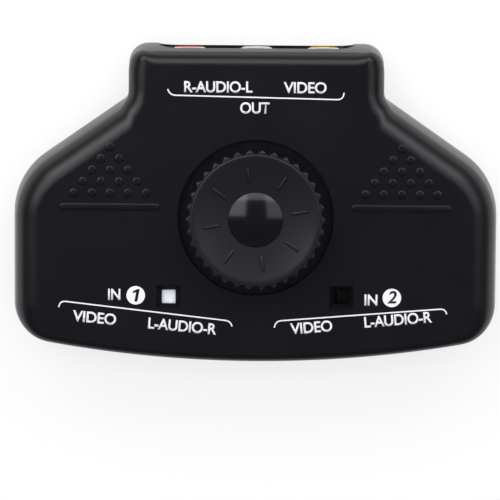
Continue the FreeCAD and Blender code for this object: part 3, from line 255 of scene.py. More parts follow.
def reshaped(node, move, cuts=()):
    """A copy of a frame node's mesh, cut at some levels, with its points moved, in millimetres.

    The move also gives each moved point's normal, or a zero where the faces round it decide."""
    form = bmesh.new()
    form.from_mesh(nodes[node].data)
    bmesh.ops.remove_doubles(form, verts=form.verts, dist=MERGE_DISTANCE)
    for level in cuts:
        bmesh.ops.bisect_plane(
            form, geom=form.verts[:] + form.edges[:] + form.faces[:],
            dist=MERGE_DISTANCE, plane_co=(0, 0, level * MM), plane_no=(0, 0, 1))
    bmesh.ops.triangulate(form, faces=form.faces)
    form.normal_update()
    before = np.array([vertex.co for vertex in form.verts]) / MM
    after, given_normals = move(before, np.array([vertex.normal for vertex in form.verts]))
    for vertex, place in zip(form.verts, after):
        vertex.co = Vector(place) * MM
    mesh = bpy.data.meshes.new(f"{node}_reshaped")
    form.to_mesh(mesh)
    form.free()
    for layer in list(mesh.attributes):
        if not layer.is_required and not layer.is_internal:
            mesh.attributes.remove(layer)
    mesh.shade_smooth()
    mesh.normals_split_custom_set(even_normals(mesh, given_normals))
    return mesh


def even_normals(mesh, given_normals):
    """A normal for each corner of each face: its point's given one, where that suits the face.

    Elsewhere the broad faces round the point that meet smoothly decide it."""
    normals = [polygon.normal.copy() for polygon in mesh.polygons]
    weights = [polygon.area ** 2 for polygon in mesh.polygons]
    around = [[] for _ in mesh.vertices]
    for polygon in mesh.polygons:
        for vertex in polygon.vertices:
            around[vertex].append(polygon.index)
    corners = []
    for polygon in mesh.polygons:
        own = normals[polygon.index]
        for vertex in polygon.vertices:
            given = Vector(given_normals[vertex])
            if own.dot(given) > CASE_SMOOTH_COSINE:
                corners.append(given)
                continue
            total = own * weights[polygon.index]
            for other in around[vertex]:
                if other != polygon.index and own.dot(normals[other]) > CASE_SMOOTH_COSINE:
                    total = total + normals[other] * weights[other]
            corners.append(total.normalized())
    return corners


def arc_points(middle, radius, start, turn):
    """Points round an arc, from a starting angle through a turn."""
    per_radian = STEPS_PER_RADIAN if radius < WIDE_RADIUS else WIDE_STEPS_PER_RADIAN
    steps = max(2, int(abs(turn) * per_radian))
    angles = [start + turn * step / steps for step in range(steps + 1)]
    return [(middle[0] + radius * math.cos(angle), middle[1] + radius * math.sin(angle))
            for angle in angles]


def bend_points(before, corner, after, radius):
    """Points of an arc that rounds the corner between two straight walls."""
    ahead = (Vector(corner) - Vector(before)).normalized()
    onward = (Vector(after) - Vector(corner)).normalized()
    turn = math.atan2(ahead.x * onward.y - ahead.y * onward.x, ahead.dot(onward))
    start = Vector(corner) - ahead * radius * math.tan(abs(turn) / 2)
    towards = Vector((-ahead.y, ahead.x)) * math.copysign(1, turn)
    middle = start + towards * radius
    return arc_points(middle, radius, math.atan2(-towards.y, -towards.x), turn)


def half_outline(lean, root_radius):
    """Half of the case's outline at one level, from the front's middle to the back's middle."""
    side_x = HALF_WIDTH - lean["side"]
    neck_x = HALF_NECK - lean["neck"]
    back_y = HALF_DEPTH - lean["back"]
    arc_radius = FRONT_ARC_RADIUS - lean["front"]
    arc_y = FRONT_ARC_RADIUS - HALF_DEPTH
    rise = math.tan(SHOULDER_ANGLE)
    setback = lean["shoulder"] / math.cos(SHOULDER_ANGLE)
    shoulder = (side_x, SHOULDER_START + rise * lean["side"] - setback)
    root = (neck_x, SHOULDER_START + rise * (HALF_WIDTH - neck_x) - setback)
    front_round = FRONT_CORNER_RADIUS - lean["side"] * CORNER_TIGHTENING
    shoulder_round = SHOULDER_RADIUS - lean["side"] * SHOULDER_TIGHTENING
    back_round = BACK_CORNER_RADIUS - lean["back"] * CORNER_TIGHTENING
    middle = (side_x - front_round,
              arc_y - math.sqrt((arc_radius - front_round) ** 2 - (side_x - front_round) ** 2))
    tangent = math.atan2(middle[1] - arc_y, middle[0])
    points = arc_points((0, arc_y), arc_radius, -math.pi / 2, tangent + math.pi / 2)
    points += arc_points(middle, front_round, tangent, -tangent)
    points += bend_points((side_x, middle[1]), shoulder, root, shoulder_round)
    points += bend_points(shoulder, root, (neck_x, back_y), root_radius)
    points += bend_points(root, (neck_x, back_y), (0, back_y), back_round)
    return np.array(points + [(0, back_y)])


def nearest(places, outline):
    """The nearest point of an outline to each place, and how far it is."""
    starts, ends = outline[:-1], outline[1:]
    run = ends - starts
    share = ((places[:, None] - starts) * run).sum(2) / np.maximum((run ** 2).sum(1), TINY)
    feet = starts + np.clip(share, 0, 1)[..., None] * run
    gaps = np.linalg.norm(places[:, None] - feet, axis=2)
    best = gaps.argmin(1)
    rows = np.arange(len(places))
    return feet[rows, best], gaps[rows, best]


def framed_inset(lean, full_height, height):
    """How far in a wall of the frame lies at a height: it leans evenly and then is rounded over."""
    slope = lean / full_height
    tilt = np.arctan(slope)
    middle = full_height - FRAME_ROUNDING
    over = np.clip(height - middle, -FRAME_ROUNDING, FRAME_ROUNDING)
    drop = np.sqrt(FRAME_ROUNDING ** 2 - over ** 2)
    rounded = middle * slope + FRAME_ROUNDING / np.cos(tilt) - drop
    return np.where(height < middle + FRAME_ROUNDING * np.sin(tilt), height * slope, rounded)


def real_section(lean, radius, full_height, height):
    """How far in a real wall lies at a height, and its slope: a soft belly, rounded over."""
    climb = np.clip(height / full_height, 0, 1)
    over = np.clip(height - full_height + radius, 0, radius)
    drop = np.sqrt(radius ** 2 - over ** 2)
    belly_slope = BELLY * lean / full_height * climb ** (BELLY - 1)
    return lean * climb ** BELLY + radius - drop, belly_slope + over / np.maximum(drop, TINY)


def real_walls(node):
    """A move for a shell's outside, from the frame's straight walls to the real soft curves."""
    sign, full_height = SHELLS[node]
    parting = half_outline(dict.fromkeys(FRAME_LEANS[node], 0), NECK_ROOT_RADIUS)
    frame_end = half_outline(FRAME_LEANS[node], FRAME_ROOTS[node])
    real_end = half_outline(REAL_LEANS[node], REAL_ROOTS[node])

    def move(places, normals):
        side = np.where(places[:, 0] < 0, -1, 1)
        flat = np.column_stack([np.abs(places[:, 0]), places[:, 1]])
        height = (places[:, 2] - PARTING_LEVEL) * sign
        foot, inset = nearest(flat, parting)
        inward = (flat - foot) / np.maximum(inset, TINY)[:, None]
        off_wall = inset - framed_inset(nearest(foot, frame_end)[1], full_height, height)
        lean = nearest(foot, real_end)[1]
        radius = np.interp(foot[:, 1], *REAL_ROUNDINGS[node])
        real_inset, slope = real_section(lean, radius, full_height, height)
        behind = foot[:, 1] > HALF_DEPTH - BACK_CORNER_RADIUS
        narrowing = np.interp(foot[:, 0], *BACK_CORNER) * behind
        kept = 1 - narrowing * (1 - np.minimum(1, CORNER_REACH / (lean + radius)))
        moved = foot + inward * (kept * real_inset)[:, None]
        placed = np.column_stack([moved[:, 0] * side, moved[:, 1], places[:, 2]])
        outward = np.column_stack([-inward[:, 0] * side, -inward[:, 1], sign * kept * slope])
        outward /= np.maximum(np.linalg.norm(outward, axis=1), TINY)[:, None]
        facing = (normals * outward).sum(1)
        outside = ((np.abs(off_wall) < SKIN_TOLERANCE) & (height > PARTING_BAND)
                   & (facing > FACING_OUT))[:, None]
        flattened = np.column_stack([places[:, :2], np.minimum(places[:, 2], TOP_LEVEL)])
        return np.where(outside, placed, flattened), np.where(outside, outward, 0)

    return move


case_plastic = moulded_plastic(
    "case_plastic", CASE_BLACK, CASE_BLACK_WORN, CASE_ROUGHNESS, CASE_GRAIN, CASE_GRAIN_DEPTH)
for node, (sign, full_height) in SHELLS.items():
    cuts = [PARTING_LEVEL + sign * height for height in WALL_CUTS if height < full_height]
    stand_in(f"{node}_moulded", reshaped(node, real_walls(node), cuts), case_plastic,
             "case", node)

# Raised marks on the case
# On each side of the knob a triangle of fifteen low, steep-sided domes stands over a rounded bar,
# all moulded with the top shell.
ROUND_SIDES = 24
SMOOTH_ANGLE = math.radians(40)
SPIN_SEED = 7
# Radii and heights of a dome, in millimetres
DOT_SECTION = ((1.15, -0.30), (1.15, 0.05), (1.12, 0.17), (1.04, 0.27), (0.90, 0.33), (0.60, 0.365),
               (0.25, 0.38))
DOT_MIDDLE = 37.0
DOT_ROWS = 5
DOT_APEX_Y = 14.1
DOT_ROW_PITCH = 2.9
DOT_PITCH = 4.57
BAR_Y = -1.0
BAR_LENGTH = 25.4
BAR_WIDTH = 1.8
# Insets and heights of a bar, in millimetres
BAR_SECTION = ((0.0, -0.30), (0.0, 0.10), (0.06, 0.26), (0.20, 0.37), (0.40, 0.41))
END_STEPS = 10


def ring(form, height, radius_at):
    """A ring of vertices at a height, with a radius at each angle."""
    ring_vertices = []
    for step in range(ROUND_SIDES):
        angle = 2 * math.pi * step / ROUND_SIDES
        radius = radius_at(angle)
        x, y = radius * math.cos(angle), radius * math.sin(angle)
        ring_vertices.append(form.verts.new((x, y, height)))
    return ring_vertices


def join_rings(form, rings):
    """Walls between rings of equal count."""
    for lower, upper in zip(rings, rings[1:]):
        for step in range(len(lower)):
            after = (step + 1) % len(lower)
            form.faces.new((lower[step], lower[after], upper[after], upper[step]))


def round_at(radius):
    """A radius that is the same at every angle."""
    return lambda angle: radius


def finished_form(form, name):
    """Turns a closed form into an object with smooth faces and sharp corners."""
    bmesh.ops.recalc_face_normals(form, faces=form.faces)
    mesh = bpy.data.meshes.new(name)
    form.to_mesh(mesh)
    form.free()
    mesh.shade_smooth()
    mesh.set_sharp_from_angle(angle=SMOOTH_ANGLE)
    return bpy.data.objects.new(name, mesh)


def repeating_tree():
    """Sets one form at each point, turned over where asked and spun by its own random angle."""
    group = bpy.data.node_groups.new("repeated", "GeometryNodeTree")
    tree = Tree(group)
    sockets = {}
    for name, direction, kind in (
            ("Places", "INPUT", "Geometry"), ("Form", "INPUT", "Object"),
            ("Finish", "INPUT", "Material"), ("Turned Over", "INPUT", "Float"),
            ("Seed", "INPUT", "Int"), ("Geometry", "OUTPUT", "Geometry")):
        sockets[name] = group.interface.new_socket(
            name, in_out=direction, socket_type=f"NodeSocket{kind}").identifier
    group_input = tree.nodes.new("NodeGroupInput")
    given = {name: Signal(tree, group_input.outputs[name])
             for name in ("Places", "Form", "Finish", "Turned Over", "Seed")}
    form = tree.add("GeometryNodeObjectInfo", {}, {"Object": given["Form"]}, output="Geometry")
    spin = tree.add("FunctionNodeRandomValue", {}, {
        "Max": math.pi, "Seed": given["Seed"]}, output=1)
    turn = tree.add("ShaderNodeCombineXYZ", {}, {"X": given["Turned Over"], "Z": spin})
    placed = tree.add("GeometryNodeInstanceOnPoints", {}, {
        "Points": given["Places"], "Instance": form, "Rotation": turn})
    whole = tree.add("GeometryNodeRealizeInstances", {}, {"Geometry": placed})
    finished = tree.add("GeometryNodeSetMaterial", {}, {
        "Geometry": whole, "Material": given["Finish"]})
    tree.add("NodeGroupOutput", {}, {"Geometry": finished})
    return group, sockets


REPEATING_GROUP, REPEATING_SOCKETS = repeating_tree()


def repeat_at(name, places, original, finish, turned_over, body):
    """Puts a copy of one form at each place, in millimetres, and lets them ride on a body."""
    mesh = bpy.data.meshes.new(f"{name}_places")
    mesh.from_pydata([tuple(Vector(place) * MM) for place in places], [], [])
    piece = bpy.data.objects.new(name, mesh)
    for part in (piece, original):
        bpy.context.scene.collection.objects.link(part)
    modifier = piece.modifiers.new("repeated", "NODES")
    modifier.node_group = REPEATING_GROUP
    modifier[REPEATING_SOCKETS["Form"]] = original
    modifier[REPEATING_SOCKETS["Finish"]] = finish
    modifier[REPEATING_SOCKETS["Turned Over"]] = math.pi if turned_over else 0.0
    modifier[REPEATING_SOCKETS["Seed"]] = SPIN_SEED
    made = plain_mesh(piece)
    piece.modifiers.clear()
    piece.data = made
    bpy.data.objects.remove(original)
    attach(piece, body)
    return piece


def closed_rings(form, rings):
    """Walls between rings, and a face at each end."""
    join_rings(form, rings)
    for end in (rings[0], rings[-1]):
        form.faces.new(end)


def turned_form(name, section):
    """A solid of revolution about its own axis, from radii and heights in millimetres."""
    form = bmesh.new()
    closed_rings(form, [ring(form, height * MM, round_at(radius * MM))
                        for radius, height in section])
    return finished_form(form, name)


def round_ended(form, start, end, half_width, grow, height_at):
    """A ring of vertices round a bar between two points, in millimetres."""
    start, end = Vector(start), Vector(end)
    along = (end - start).normalized()
    across = Vector((-along.y, along.x))
    radius = half_width - grow
    points = []
    for middle, sign in ((end - along * half_width, 1), (start + along * half_width, -1)):
        for step in range(END_STEPS + 1):
            angle = math.pi * (step / END_STEPS - 0.5)
            outwards = along * math.cos(angle) + across * math.sin(angle)
            points.append(middle + outwards * radius * sign)
    return [form.verts.new((point.x * MM, point.y * MM, height_at(point) * MM)) for point in points]


def raised_bar(form, start, end, width, section, level_at):
    """A bar with round ends and rounded edges on a surface, from insets and heights."""
    closed_rings(form, [
        round_ended(form, start, end, width / 2, inset,
                    lambda point, lift=lift: level_at(point) + lift)
        for inset, lift in section])


dot_places = [
    (side * DOT_MIDDLE + DOT_PITCH * (step - row / 2), DOT_APEX_Y - DOT_ROW_PITCH * row, TOP_LEVEL)
    for side in (-1, 1) for row in range(DOT_ROWS) for step in range(row + 1)]
raised_dot = turned_form("raised_dot", DOT_SECTION)
repeat_at("raised_dots", dot_places, raised_dot, case_plastic, False, "case")
bar_form = bmesh.new()
for side in (-1, 1):
    start_x, end_x = side * DOT_MIDDLE - BAR_LENGTH / 2, side * DOT_MIDDLE + BAR_LENGTH / 2
    raised_bar(bar_form, (start_x, BAR_Y), (end_x, BAR_Y), BAR_WIDTH, BAR_SECTION,
               lambda point: TOP_LEVEL)
raised_bars = finished_form(bar_form, "raised_bars")
raised_bars.data.materials.append(case_plastic)
bpy.context.scene.collection.objects.link(raised_bars)
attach(raised_bars, "case")

# Knob
# The dished selector knob, of the same black plastic from a finer, smoother mould.
# It is pushed on the rotor's flat and held by a screw under the cap.
KNOB_BLACK = (0.0070, 0.0067, 0.0100, 1)
KNOB_BLACK_WORN = (0.0095, 0.0090, 0.0130, 1)
KNOB_ROUGHNESS = 0.36
KNOB_GRAIN = 0.20 * MM
KNOB_GRAIN_DEPTH = 0.002 * MM
# Sizes in millimetres. The rings are radii and heights, from the inside out and over the top.
KNOB_MIDDLE_Y = -3.65
TEETH = 34
TOOTH_STEPS = 12
GROOVE_FLOOR = 16.55
TOOTH_SHARPNESS = 1.5
DISH_CURVE = 65.0
DISH_INNER = 6.9
DISH_OUTER = 15.9
DISH_LOW = 35.3
DISH_RINGS = 10
INSIDE = ((1.5, 31.1), (4.06, 31.1), (4.06, 25.4), (6.6, 25.4), (6.6, 31.1), (15.2, 33.3),
          (15.2, 25.4))
TOOTHED = ((17.7, 25.4), (17.52, 35.85), (17.42, 36.2), (17.2, 36.42), (16.85, 36.5))
RIM = ((16.3, 36.5), (16.3, 36.72), (16.15, 36.87))
CAP_SEAT = ((6.9, 33.7), (2.65, 33.7), (2.65, 32.1), (1.5, 32.1))
TICKS = 8
TICK_TURN = 9.3
TICK_INNER = 9.0
TICK_OUTER = 13.3
TICK_WIDTH = 0.85
TICK_SECTION = ((0.0, -0.30), (0.0, 0.06), (0.08, 0.26), (0.22, 0.36))


def dish_level(radius):
    """The height of the knob's dished face, in millimetres."""
    middle = DISH_LOW + math.sqrt(DISH_CURVE ** 2 - DISH_INNER ** 2)
    return middle - math.sqrt(DISH_CURVE ** 2 - radius ** 2)


def knob_ring(form, radius, height, toothed):
    """A ring round the knob's axis, cut in by the grooves between its teeth where it is toothed."""
    steps = TEETH * TOOTH_STEPS
    ring_vertices = []
    for step in range(steps):
        angle = 2 * math.pi * step / steps
        crest = (0.5 + 0.5 * math.cos(2 * math.pi * step / TOOTH_STEPS)) ** TOOTH_SHARPNESS
        here = GROOVE_FLOOR + (radius - GROOVE_FLOOR) * crest if toothed else radius
        x, y = here * math.cos(angle), here * math.sin(angle) + KNOB_MIDDLE_Y
        ring_vertices.append(form.verts.new((x * MM, y * MM, height * MM)))
    return ring_vertices


knob_form = bmesh.new()
dish_radii = [DISH_OUTER + (DISH_INNER - DISH_OUTER) * step / DISH_RINGS
              for step in range(DISH_RINGS + 1)]
dish = tuple((radius, dish_level(radius)) for radius in dish_radii)
knob_sections = ((INSIDE, False), (TOOTHED, True), (RIM + dish + CAP_SEAT, False))
knob_rings = [knob_ring(knob_form, radius, height, toothed)
              for section, toothed in knob_sections for radius, height in section]
join_rings(knob_form, knob_rings + [knob_rings[0]])
knob_axis = Vector((0, KNOB_MIDDLE_Y))
for tick in range(TICKS):
    angle = math.radians(TICK_TURN + 360 * tick / TICKS)
    direction = Vector((math.cos(angle), math.sin(angle)))
    raised_bar(knob_form, knob_axis + direction * TICK_INNER, knob_axis + direction * TICK_OUTER,
               TICK_WIDTH, TICK_SECTION, lambda point: dish_level((point - knob_axis).length))
knob_mesh = finished_form(knob_form, "knob_form").data
knob_plastic = moulded_plastic(
    "knob_plastic", KNOB_BLACK, KNOB_BLACK_WORN, KNOB_ROUGHNESS, KNOB_GRAIN, KNOB_GRAIN_DEPTH)
stand_in("knob_moulded", knob_mesh, knob_plastic, "selector", "knob")

# Knob cap
# A glossy black dome that is pressed into the knob over its screw.
CAP_BLACK = (0.0062, 0.0058, 0.0090, 1)
CAP_BLACK_DEEP = (0.0048, 0.0045, 0.0070, 1)
CAP_ROUGHNESS = 0.16
CAP_GRAIN_DEPTH = 0.0005 * MM
finish_node("knob_cap", moulded_plastic(
    "cap_plastic", CAP_BLACK, CAP_BLACK_DEEP, CAP_ROUGHNESS, KNOB_GRAIN, CAP_GRAIN_DEPTH))

# Indicator flag
# A white arm on the selector's spindle. It shows in the window of the input that is switched
# through.
FLAG_WHITE = (0.88, 0.90, 0.95, 1)
FLAG_SHADE = (0.84, 0.86, 0.92, 1)
FLAG_ROUGHNESS = 0.45
finish_node("indicator_flag", moulded_plastic(
    "flag_plastic", FLAG_WHITE, FLAG_SHADE, FLAG_ROUGHNESS, KNOB_GRAIN, KNOB_GRAIN_DEPTH))

# Jacks
# Each is a coloured insulating body with a turned and nickel-plated barrel and a bronze spring
# contact. Yellow is for the picture, white and red for the left and right sound.
JACK_COLOURS = {
    "video": ((0.83, 0.58, 0.03, 1), (0.76, 0.50, 0.02, 1)),
    "left": ((0.80, 0.79, 0.75, 1), (0.73, 0.72, 0.68, 1)),
    "right": ((0.62, 0.03, 0.02, 1), (0.52, 0.02, 0.015, 1)),
}
ROW_TURNS = {"in1": -5.2, "in2": 5.2, "out": 0.0}
# Where the coloured insert starts along its row's own axis, in millimetres
INSERT_STARTS = {"in1": -29.75, "in2": -29.75, "out": 28.85}
HOUSING_BLACK = (0.010, 0.010, 0.011, 1)
JACK_ROUGHNESS = 0.32
REAR_END_START = 37.0
REAR_END_REACH = 0.8
NICKEL = (0.78, 0.75, 0.70, 1)
NICKEL_DULL = (0.66, 0.63, 0.58, 1)
NICKEL_ROUGHNESS = 0.30
LATHE_MARK = 0.08 * MM
LATHE_STRETCH = 0.02
LATHE_DETAIL = 1
LATHE_GLOSS = 0.10
PATCH_SIZE = 3 * MM
PATCH_DETAIL = 4
PATCH_GLOSS = 0.12
MARK_DEPTH = 0.002 * MM
BRONZE = (0.63, 0.38, 0.17, 1)
BRONZE_DULL = (0.45, 0.25, 0.11, 1)
BRONZE_ROUGHNESS = 0.35


def plated_metal(name, colour, dull, roughness, mark, turn=0):
    """Metal with the fine rings of a lathe across its row's axis, and dull patches."""
    material, tree = new_material(name)
    place = tree.add("ShaderNodeTexCoord", output="Object")
    turned = tree.add("ShaderNodeMapping", {}, {
        "Vector": place,
        "Rotation": (0, 0, -math.radians(turn)),
        "Scale": (LATHE_STRETCH, 1, LATHE_STRETCH),
    })
    rings = tree.noise(mark, LATHE_DETAIL, turned)
    patches = tree.noise(PATCH_SIZE, PATCH_DETAIL)
    tree.surface({
        "Base Color": tree.blend(patches, colour, dull),
        "Metallic": 1,
        "Roughness": roughness + (patches - 0.5) * PATCH_GLOSS + (rings - 0.5) * LATHE_GLOSS,
        "Normal": tree.bump(rings, MARK_DEPTH),
    })
    return material


def jack_plastic(name, colours, row):
    """Coloured plastic where the jack's insert shows in its pocket, and black behind the pocket."""
    material, tree = new_material(name)
    place = tree.add("ShaderNodeTexCoord", output="Object")
    turned = tree.add("ShaderNodeMapping", {}, {
        "Vector": place, "Rotation": (0, 0, -math.radians(ROW_TURNS[row]))})
    depth = tree.add("ShaderNodeSeparateXYZ", {}, {"Vector": turned}, output="Y")
    beyond = "GREATER_THAN" if row == "out" else "LESS_THAN"
    outer = depth.math(beyond, depth, INSERT_STARTS[row] * MM)
    clouds = tree.noise(PATCH_SIZE, CLOUD_DETAIL)
    pits = tree.noise(KNOB_GRAIN)
    coloured = tree.blend(clouds, *colours)
    tree.surface({
        "Base Color": tree.blend(outer, HOUSING_BLACK, coloured),
        "Roughness": JACK_ROUGHNESS + (pits - 0.5) * PIT_GLOSS,
        "Normal": tree.bump(pits, KNOB_GRAIN_DEPTH),
    })
    return material


def drawn_out(places, normals):
    """The rear jacks stand a little further out of their pocket than their frame."""
    reach = np.outer(places[:, 1] > REAR_END_START, (0, REAR_END_REACH, 0))
    return places + reach, np.zeros_like(places)


contact_bronze = plated_metal("contact_bronze", BRONZE, BRONZE_DULL, BRONZE_ROUGHNESS, LATHE_MARK)
for row, turn in ROW_TURNS.items():
    row_nickel = plated_metal(
        f"nickel_{row}", NICKEL, NICKEL_DULL, NICKEL_ROUGHNESS, LATHE_MARK, turn)
    for jack, colours in JACK_COLOURS.items():
        name = f"{row}_{jack}"
        plastic = jack_plastic(f"plastic_{name}", colours, row)
        if row == "out":
            stand_in(f"{name}_insulator", reshaped(f"{name}_body", drawn_out), plastic,
                     "case", f"{name}_body")
            stand_in(f"{name}_ring", reshaped(f"{name}_barrel", drawn_out), row_nickel,
                     "case", f"{name}_barrel")
        else:
            finish_node(f"{name}_body", plastic)
            finish_node(f"{name}_barrel", row_nickel)
        finish_node(f"{name}_contact", contact_bronze)

# Circuit board, switch pads and wipers
# A brown paper-resin board with tinned copper pads, and the bronze wipers under the rotor that
# slide on them.
BOARD_BROWN = (0.34, 0.20, 0.08, 1)
BOARD_FLECK = (0.25, 0.14, 0.05, 1)
BOARD_GRAIN = 0.5 * MM
BOARD_GRAIN_DEPTH = 0.004 * MM
BOARD_ROUGHNESS = 0.45
PAD_COPPER = (0.72, 0.36, 0.20, 1)
PAD_TINNED = (0.66, 0.60, 0.52, 1)
PAD_ROUGHNESS = 0.30
PAD_MARK = 0.3 * MM
finish_node("circuit_board", moulded_plastic(
    "board_resin", BOARD_BROWN, BOARD_FLECK, BOARD_ROUGHNESS, BOARD_GRAIN, BOARD_GRAIN_DEPTH))
finish_node("switch_pads", plated_metal(
    "pad_copper", PAD_COPPER, PAD_TINNED, PAD_ROUGHNESS, PAD_MARK))
for signal in ("video", "left", "right"):
    finish_node(f"wiper_{signal}", contact_bronze)

# Rotor and detent spring
# The rotor is moulded in pale acetal, which slides well. The spring is a leaf of blued steel.
ACETAL = (0.62, 0.60, 0.54, 1)
ACETAL_SHADE = (0.55, 0.53, 0.47, 1)
ACETAL_ROUGHNESS = 0.40
SPRING_STEEL = (0.30, 0.31, 0.34, 1)
SPRING_DULL = (0.20, 0.21, 0.24, 1)
SPRING_ROUGHNESS = 0.30
SPRING_MARK = 0.15 * MM
finish_node("rotor", moulded_plastic(
    "rotor_acetal", ACETAL, ACETAL_SHADE, ACETAL_ROUGHNESS, KNOB_GRAIN, KNOB_GRAIN_DEPTH))
finish_node("detent_spring", plated_metal(
    "spring_steel", SPRING_STEEL, SPRING_DULL, SPRING_ROUGHNESS, SPRING_MARK))

# Screws
# Zinc-plated self-tapping screws with pan heads and cross recesses. Four come up through the lower
# shell, four hold the board and one, under the cap, holds the knob. Each stops at its own angle.
ZINC = (0.55, 0.56, 0.58, 1)
ZINC_DULL = (0.40, 0.41, 0.43, 1)
ZINC_ROUGHNESS = 0.28
ZINC_MARK = 0.2 * MM
# Steps in one turn of the thread, and how steep its crest is
THREAD_STEPS = 6
THREAD_STEEPNESS = 4
# Shares of the shank's radius
THREAD_ROOT = 0.80
TIP_SHARE = 0.5
# Shares of the head's radius and height
HEAD_DOME = ((1.00, 0.00), (1.00, 0.40), (0.95, 0.68), (0.84, 0.90), (0.72, 1.00))
# The cross recess, in shares of the head's radius, of the mouth's size and of the head's height
CROSS_ARM = 0.48
CROSS_HALF_WIDTH = 0.14
CROSS_TAPER = 0.55
CROSS_DEPTH = 0.60
screw_zinc = plated_metal("screw_zinc", ZINC, ZINC_DULL, ZINC_ROUGHNESS, ZINC_MARK)


def thread_at(height, pitch, radius):
    """The shank's radius round a turn of its thread."""
    def radius_at(angle):
        phase = (height / pitch - angle / (2 * math.pi)) % 1
        crest = max(0, 1 - abs(phase - 0.5) * THREAD_STEEPNESS)
        return radius * (THREAD_ROOT + (1 - THREAD_ROOT) * crest)
    return radius_at


def cross_points(head_radius, size):
    """The corners of a cross recess, counterclockwise."""
    arm = head_radius * CROSS_ARM * size
    half = head_radius * CROSS_HALF_WIDTH * size
    quarter = [(arm, -half), (arm, half), (half, half)]
    return [(x * math.cos(turn) - y * math.sin(turn), x * math.sin(turn) + y * math.cos(turn))
            for turn in [math.pi / 2 * step for step in range(4)] for x, y in quarter]


def screw(name, head_radius, head_height, shank_radius, shank_length, pitch):
    """A screw with its head up and the underside of the head at height 0."""
    form = bmesh.new()
    rings = [ring(form, -shank_length, round_at(shank_radius * TIP_SHARE))]
    form.faces.new(rings[0])
    steps = int(shank_length / pitch * THREAD_STEPS)
    for step in range(1, steps):
        height = -shank_length * (1 - step / steps)
        rings.append(ring(form, height, thread_at(height, pitch, shank_radius)))
    rings.append(ring(form, 0, round_at(shank_radius)))
    rings += [ring(form, head_height * rise, round_at(head_radius * share))
              for share, rise in HEAD_DOME]
    join_rings(form, rings)
    mouth = [form.verts.new((x, y, head_height)) for x, y in cross_points(head_radius, 1)]
    base_level = head_height * (1 - CROSS_DEPTH)
    base = [form.verts.new((x, y, base_level)) for x, y in cross_points(head_radius, CROSS_TAPER)]
    join_rings(form, [mouth, base])
    form.faces.new(base)
    edges = []
    for loop in (rings[-1], mouth):
        pairs = [(loop[step - 1], loop[step]) for step in range(len(loop))]
        edges += [form.edges.get(pair) or form.edges.new(pair) for pair in pairs]
    bmesh.ops.triangle_fill(form, use_beauty=True, edges=edges)
    return finished_form(form, name)


def fasten(node, places, original, finish, turned_over, body):
    """Puts a fastener at each place, in a node's stead."""
    piece = repeat_at(f"{node}_detailed", places, original, finish, turned_over, body)
    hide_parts(node)


# Under the heads, in millimetres
CASE_SCREW_PLACES = [
    (x, y, 3.3) for x, y in ((-53.3, -11.5), (53.3, -11.5), (-36.0, 10.0), (36.0, 10.0))]
BOARD_SCREW_PLACES = [
    (x, y, 9.0) for x, y in ((-42.0, -7.0), (42.0, -7.0), (-21.5, 9.5), (21.5, 9.5))]
KNOB_SCREW_PLACES = [(0, KNOB_MIDDLE_Y, 32.1)]
case_screw = screw("case_screw", head_radius=2.5 * MM, head_height=1.9 * MM,
                   shank_radius=1.4 * MM, shank_length=13.1 * MM, pitch=1.3 * MM)
fasten("case_screws", CASE_SCREW_PLACES, case_screw, screw_zinc, True, "case")
board_screw = screw("board_screw", head_radius=2.2 * MM, head_height=1.4 * MM,
                    shank_radius=1.1 * MM, shank_length=5.0 * MM, pitch=1.0 * MM)
fasten("board_screws", BOARD_SCREW_PLACES, board_screw, screw_zinc, False, "case")
knob_screw = screw("one_knob_screw", head_radius=2.5 * MM, head_height=1.5 * MM,
                   shank_radius=1.3 * MM, shank_length=9.0 * MM, pitch=1.1 * MM)
fasten("knob_screw", KNOB_SCREW_PLACES, knob_screw, screw_zinc, False, "selector")

# Rubber feet
# Four round pads of black rubber, moulded with a rounded edge and a shallow cup, glued in shallow
# seats under the lower shell.
RUBBER = (0.016, 0.016, 0.017, 1)
RUBBER_DUSTY = (0.030, 0.029, 0.028, 1)
RUBBER_ROUGHNESS = 0.75
RUBBER_GRAIN = 0.35 * MM
RUBBER_GRAIN_DEPTH = 0.02 * MM
# Radii and heights of a foot, in millimetres, from its seat round to its cup
FOOT_SECTION = ((4.00, 1.50), (4.00, 0.50), (3.93, 0.22), (3.75, 0.06), (3.50, 0.00), (2.70, 0.00),
                (2.50, 0.05), (2.35, 0.18))
FOOT_PLACES = [(x, y, 0) for x, y in ((-44.0, -24.0), (44.0, -24.0), (-21.0, 30.0), (21.0, 30.0))]
foot_rubber = moulded_plastic(
    "foot_rubber", RUBBER, RUBBER_DUSTY, RUBBER_ROUGHNESS, RUBBER_GRAIN, RUBBER_GRAIN_DEPTH)
fasten("rubber_feet", FOOT_PLACES, turned_form("rubber_foot", FOOT_SECTION), foot_rubber,
       False, "case")

# Prints
# White ink, pad printed on the top: the marks of the inputs and the output, and the brackets that
# join each jack row's words. Only plain marks of use are printed, in a plain sans-serif.
INK_WHITE = (0.88, 0.88, 0.91, 1)
INK_THIN = (0.80, 0.80, 0.84, 1)
INK_ROUGHNESS = 0.50
INK_GRAIN = 0.15 * MM
